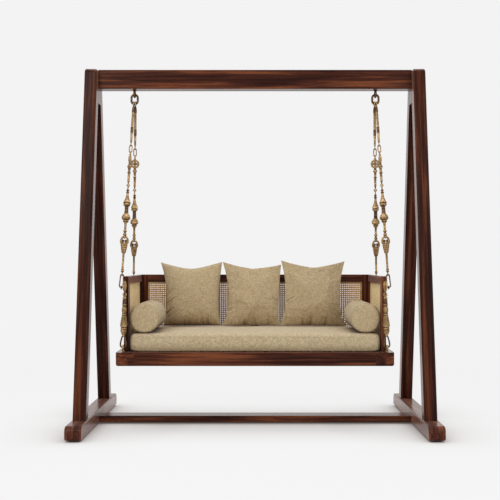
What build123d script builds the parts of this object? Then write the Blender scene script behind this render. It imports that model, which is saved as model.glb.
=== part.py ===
from build123d import *
import math
import os

# A jhoola: a cushioned bench hung on four ornamental brass chains from a wooden A-frame stand.
# Millimetres. +Z is up, +X is to the right of someone facing the swing, the front faces -Y.
# The origin is on the floor, under the middle of the stand.

# ---- stand
stand_height = 2130.0
frame_spacing = 1964.0        # centre to centre of the two A-frames
leg_width = 75.0              # along X
leg_depth = 80.0              # horizontal depth, along Y
leg_spread = 890.0            # over both legs, where they stand on the foot
leg_arris_r = 12.0
leg_inner_arris_r = 4.0
head_depth = 176.0            # over both legs, at the very top
head_height = 200.0           # from the top down to the crotch between the legs
head_corner_r = 30.0
foot_length = 1240.0
foot_width = 92.0
foot_height = 77.0
foot_top_corner_r = 35.0
foot_toe_r = 15.0
foot_arris_r = 7.0
glide_height = 8.0
glide_d = 56.0
glide_inset = 15.0            # from the end of the foot
beam_height = 115.0
beam_depth = 85.0
beam_arris_r = 5.0
stretcher_width = 120.0       # along Y
stretcher_thickness = 38.0
stretcher_floor_gap = 9.0
stretcher_arris_r = 4.0

# ---- stand fasteners
bolt_d = 10.0
bolt_head_d = 17.0
bolt_head_height = 9.0
bolt_recess = 13.0            # depth of the hole that hides a bolt head
barrel_nut_d = 16.0
barrel_nut_length = 30.0
barrel_nut_depth = 45.0       # from the joint face to the barrel nut's axis
beam_bolt_drops = (35.0, 80.0)
stretcher_bolt_spacing = 70.0
stretcher_nut_cover = 6.0     # wood left above and below a barrel nut
foot_bolt_recess = 20.0
dowel_d = 12.0
dowel_grip = 25.0             # how far a head dowel goes into each leg
dowel_spacing = 36.0
dowel_rise = 35.0             # above the crotch
wood_fit = 0.2                # play between a wooden tenon or dowel and its hole
metal_fit = 0.4               # play round a bolt

# ---- hooks and top rings
eye_spacing = 1462.0          # between the two eye bolts under the beam
eye_wire_d = 13.0
eye_mean_d = 35.0
eye_drop = 25.0               # underside of the beam to the middle of the eye
eye_shank_d = 12.0
eye_shoulder_d = 24.0
eye_shoulder_height = 4.0
nut_across = 19.0
nut_height = 10.0
washer_d = 28.0
washer_height = 2.5
nut_recess_d = 32.0
nut_recess_depth = 14.0
ring_wire_d = 13.0
ring_mean_width = 38.0
ring_mean_height = 56.0
hang_play = 0.3               # between two links where one hangs in the other

# ---- upper chains: each is a rod, an oval link, a rosette rod, a baluster, a stirrup rod
# ---- and a pear link
loop_wire_d = 8.0
loop_mean_d = 25.0
loop_spacing = 11.0           # front and rear loops, side by side on the top ring
loop_lift = 2.4               # the loops straddle the ring's curved foot, so they ride this high
small_wire_d = 6.0
small_eye_mean_d = 15.0
oval_corner_share = 0.49      # corner radius of an oval ring, of its mean width
hanger_share = 0.2658         # of the run that the links leave to the turned rods
link_mean_width = 16.0
link_mean_height = 46.0
rosette_drop = 46.0           # eye to wheel centre
rosette_d = 56.0
rosette_rim = 6.0
rosette_thickness = 18.0
rosette_hub_d = 16.0
spoke_width = 4.0
spoke_turns = (0, 45, 90, 135)
rosette_turns = (90, 0)       # the front wheels are seen edge-on, the rear ones face-on
rosette_share = 0.2057
baluster_share = 0.307
stirrup_wire_d = 8.0
stirrup_mean_width = 42.0
stirrup_mean_height = 40.0
stirrup_top_width = 18.0
stirrup_top_r = 8.0
stirrup_foot_r = 12.0
neck_d = 5.0                  # of a rod where it meets a small eye
pear_wire_d = 7.0
pear_top_width = 16.0
pear_top_r = 7.5
pear_mean_width = 23.0
pear_foot_r = 9.8
pear_mean_height = 76.0
front_hang_x = 764.0          # foot of the pear links, from the middle plane
front_hang_y = 322.0
front_hang_rise = 370.0       # foot of the front pear links, above the seat frame
rear_hang_x = 771.0
rear_hang_y = 247.0
pear_play = 0.95              # the seat rocks on this joint, so it is looser

# ---- turned profiles: how far down the piece, as a share of its length, and the diameter there
hanger_profile = ((0.030, 12), (0.080, 15), (0.092, 18), (0.174, 18), (0.190, 16), (0.550, 16),
                  (0.566, 18), (0.718, 18), (0.740, 15), (0.950, 11))
rosette_neck_profile = ((0.20, 11), (0.90, 9))
rosette_rod_profile = ((0.100, 18), (0.160, 25), (0.190, 22), (0.220, 14), (0.410, 14),
                       (0.430, 20), (0.475, 20), (0.495, 14), (0.867, 14))
baluster_profile = ((0.042, 17), (0.075, 17), (0.083, 13), (0.092, 19), (0.118, 19),
                    (0.126, 15), (0.220, 25), (0.300, 43), (0.326, 43), (0.358, 41),
                    (0.378, 30), (0.392, 22), (0.460, 24), (0.530, 22), (0.566, 42),
                    (0.631, 51), (0.680, 44), (0.704, 32), (0.722, 32), (0.750, 22),
                    (0.786, 14), (0.872, 13), (0.904, 22), (0.931, 14), (0.945, 22),
                    (0.975, 20))
cup_profile = ((0.032, 34), (0.280, 20), (0.301, 14), (0.355, 12), (0.796, 12), (0.817, 16),
               (0.903, 16))
cup_d = 34.0
cup_bite = 1.0                # how far the cup's rim runs into the stirrup's foot
pendant_profile = ((0.04, 24), (0.30, 30), (0.46, 24), (0.52, 28), (0.56, 26), (0.79, 40),
                   (0.83, 36), (0.93, 35))

# ---- lower chains: leaf hook, pendant and seat eye
hook_eye_mean_d = 17.0
leaf_width = 25.0
leaf_rise = 38.0              # above the pear link's foot
leaf_drop = 31.0              # below it
leaf_thickness = 5.0
leaf_bow_share = 0.4          # half width at the pear link's foot, of the leaf's width
front_leaf_inset = 20.0       # the front leaves sit nearer the middle plane than their hooks
rear_leaf_inset = 0.0
leaf_offset = 10.5            # leaf in front of the hook's eye
hook_foot_eye_mean_d = 13.0
hook_foot_wire_d = 5.0
pendant_ring_mean_d = 18.0
pendant_wire_d = 6.0
drop_wire_d = 8.0
drop_mean_width = 32.0
drop_top_width = 8.0
drop_top_r = 3.0
drop_foot_r = 12.5
drop_height = 66.0
pendant_neck_d = 8.0
pendant_foot_d = 22.0
pendant_bite = 2.0            # how far the body's foot runs into the drop ring's top
front_stud_x = 753.0
front_stud_y = 326.0
rear_stud_x = 778.0
rear_stud_y = 325.0
seat_eye_wire_d = 12.0
seat_eye_mean_d = 23.0
seat_eye_height = 25.5        # above the rail
seat_shank_d = 10.0
seat_shank_gap = 1.0          # from the underside of the rail up to the shank's end
seat_collar_d = 16.0
seat_nut_across = 17.0
seat_nut_height = 8.0
seat_nut_recess_d = 22.0
seat_nut_recess_depth = 12.0

# ---- seat
seat_length = 1586.0
seat_depth = 700.0
seat_top = 457.0
seat_rail_height = 78.0
side_rail_width = 106.0
long_rail_width = 60.0
seat_corner_r = 14.0
seat_arris_r = 12.0
rail_tenon = (40.0, 30.0, 40.0)
slat_count = 11
slat_width = 95.0
slat_thickness = 18.0
slat_bearing = 20.0
arm_height = 433.0            # above the seat frame
arm_thickness = 27.0
arm_ledge = 40.0              # of the seat frame left outside the arm
arm_front_gap = 50.0          # from the seat's front edge to the arm
arm_post_depth = 65.0
arm_rail_height = 45.0
back_thickness = 27.0
back_rear_gap = 23.0          # from the seat's rear edge to the back
back_post_width = 68.0
back_rail_height = 47.0
back_stile_width = 40.0
post_tenon_depth = 16.0
post_tenon_thickness = 13.0
rail_tenon_depth = 20.0
rail_tenon_margin = 8.0
frame_arris_r = 3.0
cane_thickness = 3.0
cane_groove = 6.0
bead_width = 12.0
bead_thickness = 4.0

# ---- cushions
mattress_height = 103.0
mattress_side_gap = 9.5
mattress_front_gap = 40.0     # from the seat's front edge
mattress_back_gap = 2.0
mattress_corner_r = 28.0
mattress_edge_r = 20.0
cushion_size = 383.0
cushion_height = 385.0
cushion_thickness = 108.0
cushion_pitch = 384.0
cushion_shift = -17.0
cushion_lean = 13.0
cushion_corner_r = 40.0
cushion_edge_r = 36.0
bolster_d = 171.0
bolster_length = 400.0
bolster_front_gap = 60.0      # from the seat's front edge
bolster_edge_r = 12.0
rest_gap = 0.4                # soft pieces stay this far off what they rest on

# ---- derived places
SIDES = (("left", -1), ("right", 1))
frame_x = frame_spacing / 2
foot_top = glide_height + foot_height
leg_slope = (leg_spread - head_depth) / 2 / (stand_height - foot_top)
head_inner_x = frame_x - leg_width / 2
foot_inner_x = frame_x - foot_width / 2
foot_outer_x = frame_x + foot_width / 2
crotch_z = stand_height - head_height
beam_bottom = stand_height - beam_height
eye_x = eye_spacing / 2
eye_z = beam_bottom - eye_drop
stretcher_z = stretcher_floor_gap + stretcher_thickness / 2
leg_foot_y = leg_spread / 2 - leg_depth / 2
seat_bottom = seat_top - seat_rail_height
side_rail_inner_x = seat_length / 2 - side_rail_width
arm_outer_x = seat_length / 2 - arm_ledge
arm_inner_x = arm_outer_x - arm_thickness
arm_mid_x = (arm_outer_x + arm_inner_x) / 2
arm_front_y = -seat_depth / 2 + arm_front_gap
arm_rail_front_y = arm_front_y + arm_post_depth
arm_top = seat_top + arm_height
back_rear_y = seat_depth / 2 - back_rear_gap
back_front_y = back_rear_y - back_thickness
back_mid_y = (back_rear_y + back_front_y) / 2
back_post_inner_x = arm_outer_x - back_post_width
mattress_top = seat_top + rest_gap + mattress_height


def leg_outer_y(z):
    """Distance from the middle plane to a leg's outer face, at a height."""
    return head_depth / 2 + leg_slope * (stand_height - z)


def side_eye(height, mean_d, wire_d):
    """A ring across the chain's face, seen edge-on from the front."""
    with Locations((0, 0, height)):
        Torus(mean_d / 2, wire_d / 2, rotation=(0, 90, 0))


def face_eye(height, mean_d, wire_d):
    """A ring in the chain's face, seen round from the front."""
    with Locations((0, 0, height)):
        Torus(mean_d / 2, wire_d / 2, rotation=(90, 0, 0))


def chain_plane(top, foot):
    """A plane at the top of a hanging run, with Z up along it and X across its face."""
    up = (top - foot).normalized()
    back = up.cross(Vector(1, 0, 0)).normalized()
    return Plane(origin=top, x_dir=back.cross(up), z_dir=up)


def facing(plane, height):
    """The face of a chain plane, moved along the run: X across, Y up the run."""
    return Plane(origin=plane.origin + plane.z_dir * height, x_dir=plane.x_dir,
                 z_dir=plane.x_dir.cross(plane.z_dir))


def turned(run, stations):
    """A round body down a run, from (height, diameter) stations."""
    with BuildSketch(facing(run, 0)) as profile:
        with BuildLine():
            Polyline((0, stations[0][0]), *((width / 2, height) for height, width in stations),
                     (0, stations[-1][0]), close=True)
        make_face()
    revolve(profiles=profile.sketch, axis=Axis(run.origin, run.z_dir))


def shaped(start, start_d, profile, end, end_d):
    """Stations of a turned body from its start down to its end, from a profile of shares."""
    length = start - end
    middle = tuple((start - share * length, width) for share, width in profile)
    return ((start, start_d), *middle, (end, end_d))


def wire_loop(face, corners, radii, wire_d):
    """A closed loop of round wire through rounded corners drawn on a face."""
    with BuildLine(face) as centre_line:
        FilletPolyline(*corners, radius=radii, close=True)
    start = Plane(origin=centre_line.line @ 0, z_dir=centre_line.line % 0)
    with BuildSketch(start) as section:
        Circle(wire_d / 2)
    sweep(sections=section.sketch, path=centre_line.line)


def oval(mean_width, mean_height):
    """Corners of a round-ended oval that hangs from the middle of its upper wire."""
    half = mean_width / 2
    corners = ((-half, 0), (half, 0), (half, -mean_height), (-half, -mean_height))
    return corners, mean_width * oval_corner_share


def cut_box(length_x, length_y, length_z, centre):
    """Cut a box out of the current part."""
    with Locations(centre):
        Box(length_x, length_y, length_z, mode=Mode.SUBTRACT)


def write(part, name):
    """Label a finished sub-part and write it as its own STEP file."""
    part.label = name
    export_step(part, f"parts/{name}.step")


os.makedirs("parts", exist_ok=True)

# ==================================================================== stand
# ---- legs: each leans in to the head and is bolted down through the foot
for side, sx in SIDES:
    for end, sy in (("front", -1), ("rear", 1)):
        bolt_place = (sx * frame_x, sy * leg_foot_y)
        nut_z = foot_top + barrel_nut_depth
        dowel_top = crotch_z + dowel_rise
        dowel_reach = leg_outer_y(dowel_top) - leg_depth + dowel_grip + wood_fit
        with BuildPart() as leg:
            with BuildSketch(Plane.YZ.offset(sx * frame_x)) as side_view:
                with BuildLine():
                    top_out = (sy * head_depth / 2, stand_height)
                    top_in = (sy * (head_depth / 2 - leg_depth), stand_height)
                    low_in = (sy * (leg_spread / 2 - leg_depth), foot_top)
                    low_out = (sy * leg_spread / 2, foot_top)
                    Polyline(top_out, top_in, low_in, low_out, close=True)
                make_face()
                top_corners = side_view.vertices().group_by(Axis.Y)[-1]
                fillet(top_corners.sort_by(lambda v: abs(v.X))[-1], head_corner_r)
            extrude(amount=leg_width / 2, both=True)
            long_edges = leg.edges().filter_by(lambda e: e.length > stand_height / 2)
            outer_arrises = long_edges.sort_by(lambda e: abs(e.center().Y))[2:]
            fillet(outer_arrises, leg_arris_r)
            long_edges = leg.edges().filter_by(lambda e: e.length > stand_height / 2)
            inner_arrises = long_edges.sort_by(lambda e: abs(e.center().Y))[:2]
            fillet(inner_arrises, leg_inner_arris_r)
            with Locations((*bolt_place, nut_z)):
                Cylinder((bolt_d + metal_fit) / 2, 2 * (barrel_nut_depth + bolt_d),
                         mode=Mode.SUBTRACT)
                Cylinder(barrel_nut_d / 2 + metal_fit, barrel_nut_length + metal_fit,
                         rotation=(0, 90, 0), mode=Mode.SUBTRACT)
            with Locations(*((sx * frame_x + dx, 0, dowel_top)
                             for dx in (-dowel_spacing / 2, dowel_spacing / 2))):
                Cylinder(dowel_d / 2 + wood_fit, 2 * dowel_reach, rotation=(90, 0, 0),
                         mode=Mode.SUBTRACT)
        write(leg.part, f"{side}_{end}_leg")

# ---- head wedges: fill the gap between the legs and take the beam's bolts
for side, sx in SIDES:
    top_half = head_depth / 2 - leg_depth
    crotch_half = leg_outer_y(crotch_z) - leg_depth
    with BuildPart() as wedge:
        with BuildSketch(Plane.YZ.offset(sx * frame_x)):
            with BuildLine():
                Polyline((-top_half, stand_height), (top_half, stand_height),
                         (crotch_half, crotch_z), (-crotch_half, crotch_z), close=True)
            make_face()
        extrude(amount=leg_width / 2, both=True)
        fillet(wedge.edges().filter_by(Axis.Y).group_by(Axis.Z)[-1], leg_arris_r)
        for drop in beam_bolt_drops:
            with Locations((sx * frame_x, 0, stand_height - drop)):
                Cylinder((bolt_d + metal_fit) / 2, leg_width, rotation=(0, 90, 0),
                         mode=Mode.SUBTRACT)
            recess_x = sx * (frame_x + leg_width / 2 - bolt_recess / 2)
            with Locations((recess_x, 0, stand_height - drop)):
                Cylinder(bolt_head_d / 2 + metal_fit, bolt_recess, rotation=(0, 90, 0),
                         mode=Mode.SUBTRACT)
        with Locations(*((sx * frame_x + dx, 0, crotch_z + dowel_rise)
                         for dx in (-dowel_spacing / 2, dowel_spacing / 2))):
            Cylinder(dowel_d / 2 + wood_fit, leg_depth * 2, rotation=(90, 0, 0),
                     mode=Mode.SUBTRACT)
    write(wedge.part, f"{side}_head_wedge")

# ---- dowels that pin the legs to the head wedges
with BuildPart() as head_dowels:
    dowel_length = 2 * (leg_outer_y(crotch_z + dowel_rise) - leg_depth + dowel_grip)
    for side, sx in SIDES:
        with Locations(*((sx * frame_x + dx, 0, crotch_z + dowel_rise)
                         for dx in (-dowel_spacing / 2, dowel_spacing / 2))):
            Cylinder(dowel_d / 2, dowel_length, rotation=(90, 0, 0))
write(head_dowels.part, "head_dowels")

# ---- feet: long runners with rounded toes
stretcher_bolt_ys = (-stretcher_bolt_spacing / 2, stretcher_bolt_spacing / 2)
for side, sx in SIDES:
    with BuildPart() as foot:
        with BuildSketch(Plane.YZ.offset(sx * frame_x)) as runner:
            with Locations((0, glide_height + foot_height / 2)):
                Rectangle(foot_length, foot_height)
            fillet(runner.vertices().group_by(Axis.Y)[-1], foot_top_corner_r)
            fillet(runner.vertices().group_by(Axis.Y)[0], foot_toe_r)
        extrude(amount=foot_width / 2, both=True)
        fillet(foot.edges().filter_by(Axis.X, reverse=True), foot_arris_r)
        for y in stretcher_bolt_ys:
            with Locations((sx * frame_x, y, stretcher_z)):
                Cylinder((bolt_d + metal_fit) / 2, foot_width, rotation=(0, 90, 0),
                         mode=Mode.SUBTRACT)
            with Locations((sx * (foot_outer_x - bolt_recess / 2), y, stretcher_z)):
                Cylinder(bolt_head_d / 2 + metal_fit, bolt_recess, rotation=(0, 90, 0),
                         mode=Mode.SUBTRACT)
        for y in (-leg_foot_y, leg_foot_y):
            with Locations((sx * frame_x, y, glide_height + foot_height / 2)):
                Cylinder((bolt_d + metal_fit) / 2, foot_height, mode=Mode.SUBTRACT)
            with Locations((sx * frame_x, y, glide_height + foot_bolt_recess / 2)):
                Cylinder(bolt_head_d / 2 + metal_fit, foot_bolt_recess, mode=Mode.SUBTRACT)
    write(foot.part, f"{side}_foot")

# ---- glides under the ends of the feet
glide_y = foot_length / 2 - glide_inset - glide_d / 2
with BuildPart(Plane.XY) as foot_glides:
    with Locations(*((sx * frame_x, sy * glide_y, glide_height / 2)
                     for sx in (-1, 1) for sy in (-1, 1))):
        Cylinder(glide_d / 2, glide_height)
write(foot_glides.part, "foot_glides")

# ---- beam between the heads, with barrel nuts near its ends and the eye bolts' nuts let in
beam_nut_x = head_inner_x - barrel_nut_depth
with BuildPart() as beam:
    with Locations((0, 0, stand_height - beam_height / 2)):
        Box(2 * head_inner_x, beam_depth, beam_height)
    fillet(beam.edges().filter_by(Axis.X), beam_arris_r)
    for side, sx in SIDES:
        for drop in beam_bolt_drops:
            with Locations((sx * beam_nut_x, 0, stand_height - drop)):
                Cylinder((bolt_d + metal_fit) / 2, 2 * barrel_nut_depth, rotation=(0, 90, 0),
                         mode=Mode.SUBTRACT)
                Cylinder(barrel_nut_d / 2 + metal_fit, barrel_nut_length + metal_fit,
                         rotation=(90, 0, 0), mode=Mode.SUBTRACT)
        with Locations((sx * eye_x, 0, stand_height - beam_height / 2)):
            Cylinder((eye_shank_d + metal_fit) / 2, beam_height, mode=Mode.SUBTRACT)
        with Locations((sx * eye_x, 0, stand_height - nut_recess_depth / 2)):
            Cylinder(nut_recess_d / 2, nut_recess_depth, mode=Mode.SUBTRACT)
write(beam.part, "top_beam")

# ---- stretcher board between the feet
stretcher_nut_x = foot_inner_x - barrel_nut_depth
stretcher_nut_length = stretcher_thickness - 2 * stretcher_nut_cover
with BuildPart() as stretcher:
    with Locations((0, 0, stretcher_z)):
        Box(2 * foot_inner_x, stretcher_width, stretcher_thickness)
    fillet(stretcher.edges().filter_by(Axis.X), stretcher_arris_r)
    for side, sx in SIDES:
        for y in stretcher_bolt_ys:
            with Locations((sx * stretcher_nut_x, y, stretcher_z)):
                Cylinder((bolt_d + metal_fit) / 2, 2 * barrel_nut_depth, rotation=(0, 90, 0),
                         mode=Mode.SUBTRACT)
                Cylinder(barrel_nut_d / 2 + metal_fit, stretcher_nut_length + metal_fit,
                         mode=Mode.SUBTRACT)
write(stretcher.part, "stretcher")

# ---- bolts: heads to the beam, feet to the stretcher, feet up into the legs
beam_bolt_length = leg_width - bolt_recess + barrel_nut_depth + barrel_nut_d / 2
stretcher_bolt_length = foot_width - bolt_recess + barrel_nut_depth + barrel_nut_d / 2
leg_bolt_length = foot_height - foot_bolt_recess + barrel_nut_depth + barrel_nut_d / 2
with BuildPart() as frame_bolts:
    for side, sx in SIDES:
        for drop in beam_bolt_drops:
            seat_x = frame_x + leg_width / 2 - bolt_recess
            with Locations((sx * (seat_x - beam_bolt_length / 2), 0, stand_height - drop)):
                Cylinder(bolt_d / 2, beam_bolt_length, rotation=(0, 90, 0))
            with Locations((sx * (seat_x + bolt_head_height / 2), 0, stand_height - drop)):
                Cylinder(bolt_head_d / 2, bolt_head_height, rotation=(0, 90, 0))
        for y in stretcher_bolt_ys:
            seat_x = foot_outer_x - bolt_recess
            with Locations((sx * (seat_x - stretcher_bolt_length / 2), y, stretcher_z)):
                Cylinder(bolt_d / 2, stretcher_bolt_length, rotation=(0, 90, 0))
            with Locations((sx * (seat_x + bolt_head_height / 2), y, stretcher_z)):
                Cylinder(bolt_head_d / 2, bolt_head_height, rotation=(0, 90, 0))
        for y in (-leg_foot_y, leg_foot_y):
            seat_z = glide_height + foot_bolt_recess
            with Locations((sx * frame_x, y, seat_z + leg_bolt_length / 2)):
                Cylinder(bolt_d / 2, leg_bolt_length)
            with Locations((sx * frame_x, y, seat_z - bolt_head_height / 2)):
                Cylinder(bolt_head_d / 2, bolt_head_height)
write(frame_bolts.part, "frame_bolts")

# ---- barrel nuts that the bolts screw into
thread_hole = bolt_d / 2
with BuildPart() as barrel_nuts:
    for side, sx in SIDES:
        for drop in beam_bolt_drops:
            with Locations((sx * beam_nut_x, 0, stand_height - drop)):
                Cylinder(barrel_nut_d / 2, barrel_nut_length, rotation=(90, 0, 0))
                Cylinder(thread_hole, barrel_nut_d * 2, rotation=(0, 90, 0), mode=Mode.SUBTRACT)
        for y in stretcher_bolt_ys:
            with Locations((sx * stretcher_nut_x, y, stretcher_z)):
                Cylinder(barrel_nut_d / 2, stretcher_nut_length)
                Cylinder(thread_hole, barrel_nut_d * 2, rotation=(0, 90, 0), mode=Mode.SUBTRACT)
        for y in (-leg_foot_y, leg_foot_y):
            with Locations((sx * frame_x, y, foot_top + barrel_nut_depth)):
                Cylinder(barrel_nut_d / 2, barrel_nut_length, rotation=(0, 90, 0))
                Cylinder(thread_hole, barrel_nut_d * 2, mode=Mode.SUBTRACT)
write(barrel_nuts.part, "barrel_nuts")

# ==================================================================== hooks and top rings
# ---- eye bolts through the beam
nut_seat_z = stand_height - nut_recess_depth
for side, sx in SIDES:
    eye_run = Plane((sx * eye_x, 0, eye_z))
    shank_top = nut_seat_z + washer_height + nut_height - eye_z
    with BuildPart(eye_run) as eye_bolt:
        side_eye(0, eye_mean_d, eye_wire_d)
        turned(eye_run, ((shank_top, eye_shank_d), (eye_drop, eye_shank_d),
                         (eye_drop, eye_shoulder_d),
                         (eye_drop - eye_shoulder_height, eye_shoulder_d),
                         (eye_mean_d / 2, eye_shank_d)))
    write(eye_bolt.part, f"{side}_eye_bolt")

# ---- washers and nuts let into the top of the beam
with BuildPart() as eye_bolt_nuts:
    for side, sx in SIDES:
        with BuildSketch(Plane((sx * eye_x, 0, nut_seat_z))):
            Circle(washer_d / 2)
            Circle(eye_shank_d / 2, mode=Mode.SUBTRACT)
        extrude(amount=washer_height)
        with BuildSketch(Plane((sx * eye_x, 0, nut_seat_z + washer_height))):
            RegularPolygon(nut_across / 2, 6, major_radius=False)
            Circle(eye_shank_d / 2, mode=Mode.SUBTRACT)
        extrude(amount=nut_height)
write(eye_bolt_nuts.part, "eye_bolt_nuts")

# ---- oval top rings, each hung in its eye
ring_top_z = eye_z - eye_mean_d / 2 + eye_wire_d / 2 + hang_play + ring_wire_d / 2
ring_foot_z = ring_top_z - ring_mean_height
for side, sx in SIDES:
    ring_face = facing(Plane((sx * eye_x, 0, ring_top_z)), 0)
    with BuildPart() as top_ring:
        wire_loop(ring_face, *oval(ring_mean_width, ring_mean_height), ring_wire_d)
    write(top_ring.part, f"{side}_top_ring")

# ==================================================================== upper chains
# Heights below are measured along each chain, from the middle of the loop on the top ring.
loop_z = (ring_foot_z + ring_wire_d / 2 + hang_play + loop_lift
          - (loop_mean_d - loop_wire_d) / 2)
small_nest = small_eye_mean_d / 2 - small_wire_d / 2 - hang_play - small_wire_d / 2
stirrup_nest = small_eye_mean_d / 2 - small_wire_d / 2 - hang_play - stirrup_wire_d / 2
pear_nest = small_eye_mean_d / 2 - small_wire_d / 2 - hang_play - pear_wire_d / 2
upper_length = math.hypot(front_hang_x - eye_x, front_hang_y,
                          loop_z - seat_top - front_hang_rise)
links_length = (3 * small_nest + link_mean_height + small_eye_mean_d / 2 + stirrup_nest
                + pear_nest + pear_mean_height)
rods_length = upper_length - links_length
hanger_length = hanger_share * rods_length
rosette_rod_length = rosette_share * rods_length
baluster_length = baluster_share * rods_length
link_top = -(hanger_length + small_nest)
link_foot = link_top - link_mean_height
rosette_top = link_foot - small_nest
rosette_foot = rosette_top - rosette_rod_length
baluster_top = rosette_foot - small_nest - small_eye_mean_d / 2
baluster_foot = baluster_top - baluster_length
stirrup_top = baluster_foot - stirrup_nest
pear_foot = -upper_length
pear_top = pear_foot + pear_mean_height
stirrup_rod_foot = pear_top + pear_nest


def pear_foot_point(sx, out_x, out_y):
    """Foot of a pear link: all upper chains are equally long, so its height follows."""
    across = out_x - eye_x
    drop = math.sqrt(upper_length ** 2 - across ** 2 - out_y ** 2)
    return Vector(sx * out_x, out_y, loop_z - drop)


for side, sx in SIDES:
    front_loop = Vector(sx * (eye_x + loop_spacing / 2), 0, loop_z)
    rear_loop = Vector(sx * (eye_x - loop_spacing / 2), 0, loop_z)
    front_foot = pear_foot_point(sx, front_hang_x, -front_hang_y)
    rear_foot = pear_foot_point(sx, rear_hang_x, rear_hang_y)
    runs = (chain_plane(front_loop, front_foot), chain_plane(rear_loop, rear_foot))

    with BuildPart(*runs) as hanger_rods:
        side_eye(0, loop_mean_d, loop_wire_d)
        for run in runs:
            turned(run, shaped(-loop_mean_d / 2, neck_d, hanger_profile,
                               -hanger_length + small_eye_mean_d / 2, neck_d))
        side_eye(-hanger_length, small_eye_mean_d, small_wire_d)
    write(hanger_rods.part, f"{side}_hanger_rods")

    with BuildPart() as oval_links:
        for run in runs:
            wire_loop(facing(run, link_top), *oval(link_mean_width, link_mean_height),
                      small_wire_d)
    write(oval_links.part, f"{side}_oval_links")

    wheel_z = rosette_top - rosette_drop
    with BuildPart(*runs) as rosette_rods:
        side_eye(rosette_top, small_eye_mean_d, small_wire_d)
        for run, wheel_turn in zip(runs, rosette_turns):
            turned(run, shaped(rosette_top - small_eye_mean_d / 2, neck_d, rosette_neck_profile,
                               wheel_z + (rosette_d - rosette_rim) / 2, neck_d))
            with BuildSketch(facing(run, wheel_z).rotated((0, wheel_turn, 0))):
                Circle(rosette_d / 2)
                Circle(rosette_d / 2 - rosette_rim, mode=Mode.SUBTRACT)
                for spoke_turn in spoke_turns:
                    Rectangle(rosette_d - rosette_rim, spoke_width, rotation=spoke_turn)
                Circle(rosette_hub_d / 2)
            extrude(amount=rosette_thickness / 2, both=True)
            turned(run, shaped(wheel_z - (rosette_d - rosette_rim) / 2, 2 * neck_d,
                               rosette_rod_profile, rosette_foot + small_eye_mean_d / 2, neck_d))
        face_eye(rosette_foot, small_eye_mean_d, small_wire_d)
    write(rosette_rods.part, f"{side}_rosette_rods")

    with BuildPart(*runs) as balusters:
        side_eye(baluster_top, small_eye_mean_d, small_wire_d)
        for run in runs:
            turned(run, shaped(baluster_top - small_eye_mean_d / 2, neck_d, baluster_profile,
                               baluster_foot + small_eye_mean_d / 2, neck_d))
        side_eye(baluster_foot, small_eye_mean_d, small_wire_d)
    write(balusters.part, f"{side}_balusters")

    cup_top = stirrup_top - stirrup_mean_height + cup_bite
    half_top = stirrup_top_width / 2
    half = stirrup_mean_width / 2
    with BuildPart(*runs) as stirrup_rods:
        for run in runs:
            wire_loop(facing(run, stirrup_top),
                      ((-half_top, 0), (half_top, 0), (half, -stirrup_mean_height),
                       (-half, -stirrup_mean_height)),
                      (stirrup_top_r, stirrup_top_r, stirrup_foot_r, stirrup_foot_r),
                      stirrup_wire_d)
            turned(run, shaped(cup_top, cup_d, cup_profile,
                               stirrup_rod_foot + small_eye_mean_d / 2, neck_d))
        side_eye(stirrup_rod_foot, small_eye_mean_d, small_wire_d)
    write(stirrup_rods.part, f"{side}_stirrup_rods")

    with BuildPart() as pear_links:
        half_top = pear_top_width / 2
        half = pear_mean_width / 2
        for run in runs:
            wire_loop(facing(run, pear_top),
                      ((-half_top, 0), (half_top, 0), (half, -pear_mean_height),
                       (-half, -pear_mean_height)),
                      (pear_top_r, pear_top_r, pear_foot_r, pear_foot_r), pear_wire_d)
    write(pear_links.part, f"{side}_pear_links")

# ==================================================================== lower chains
hook_lift = hook_eye_mean_d / 2 - small_wire_d / 2 - pear_play - pear_wire_d / 2
hook_foot_nest = (hook_foot_eye_mean_d / 2 - hook_foot_wire_d / 2 - hang_play
                  - pendant_wire_d / 2)
drop_nest = seat_eye_mean_d / 2 - seat_eye_wire_d / 2 - hang_play - drop_wire_d / 2
seat_eye_z = seat_top + seat_eye_height
hang_places = ((front_hang_x, -front_hang_y, front_stud_x, -front_stud_y, front_leaf_inset),
               (rear_hang_x, rear_hang_y, rear_stud_x, rear_stud_y, rear_leaf_inset))

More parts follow.
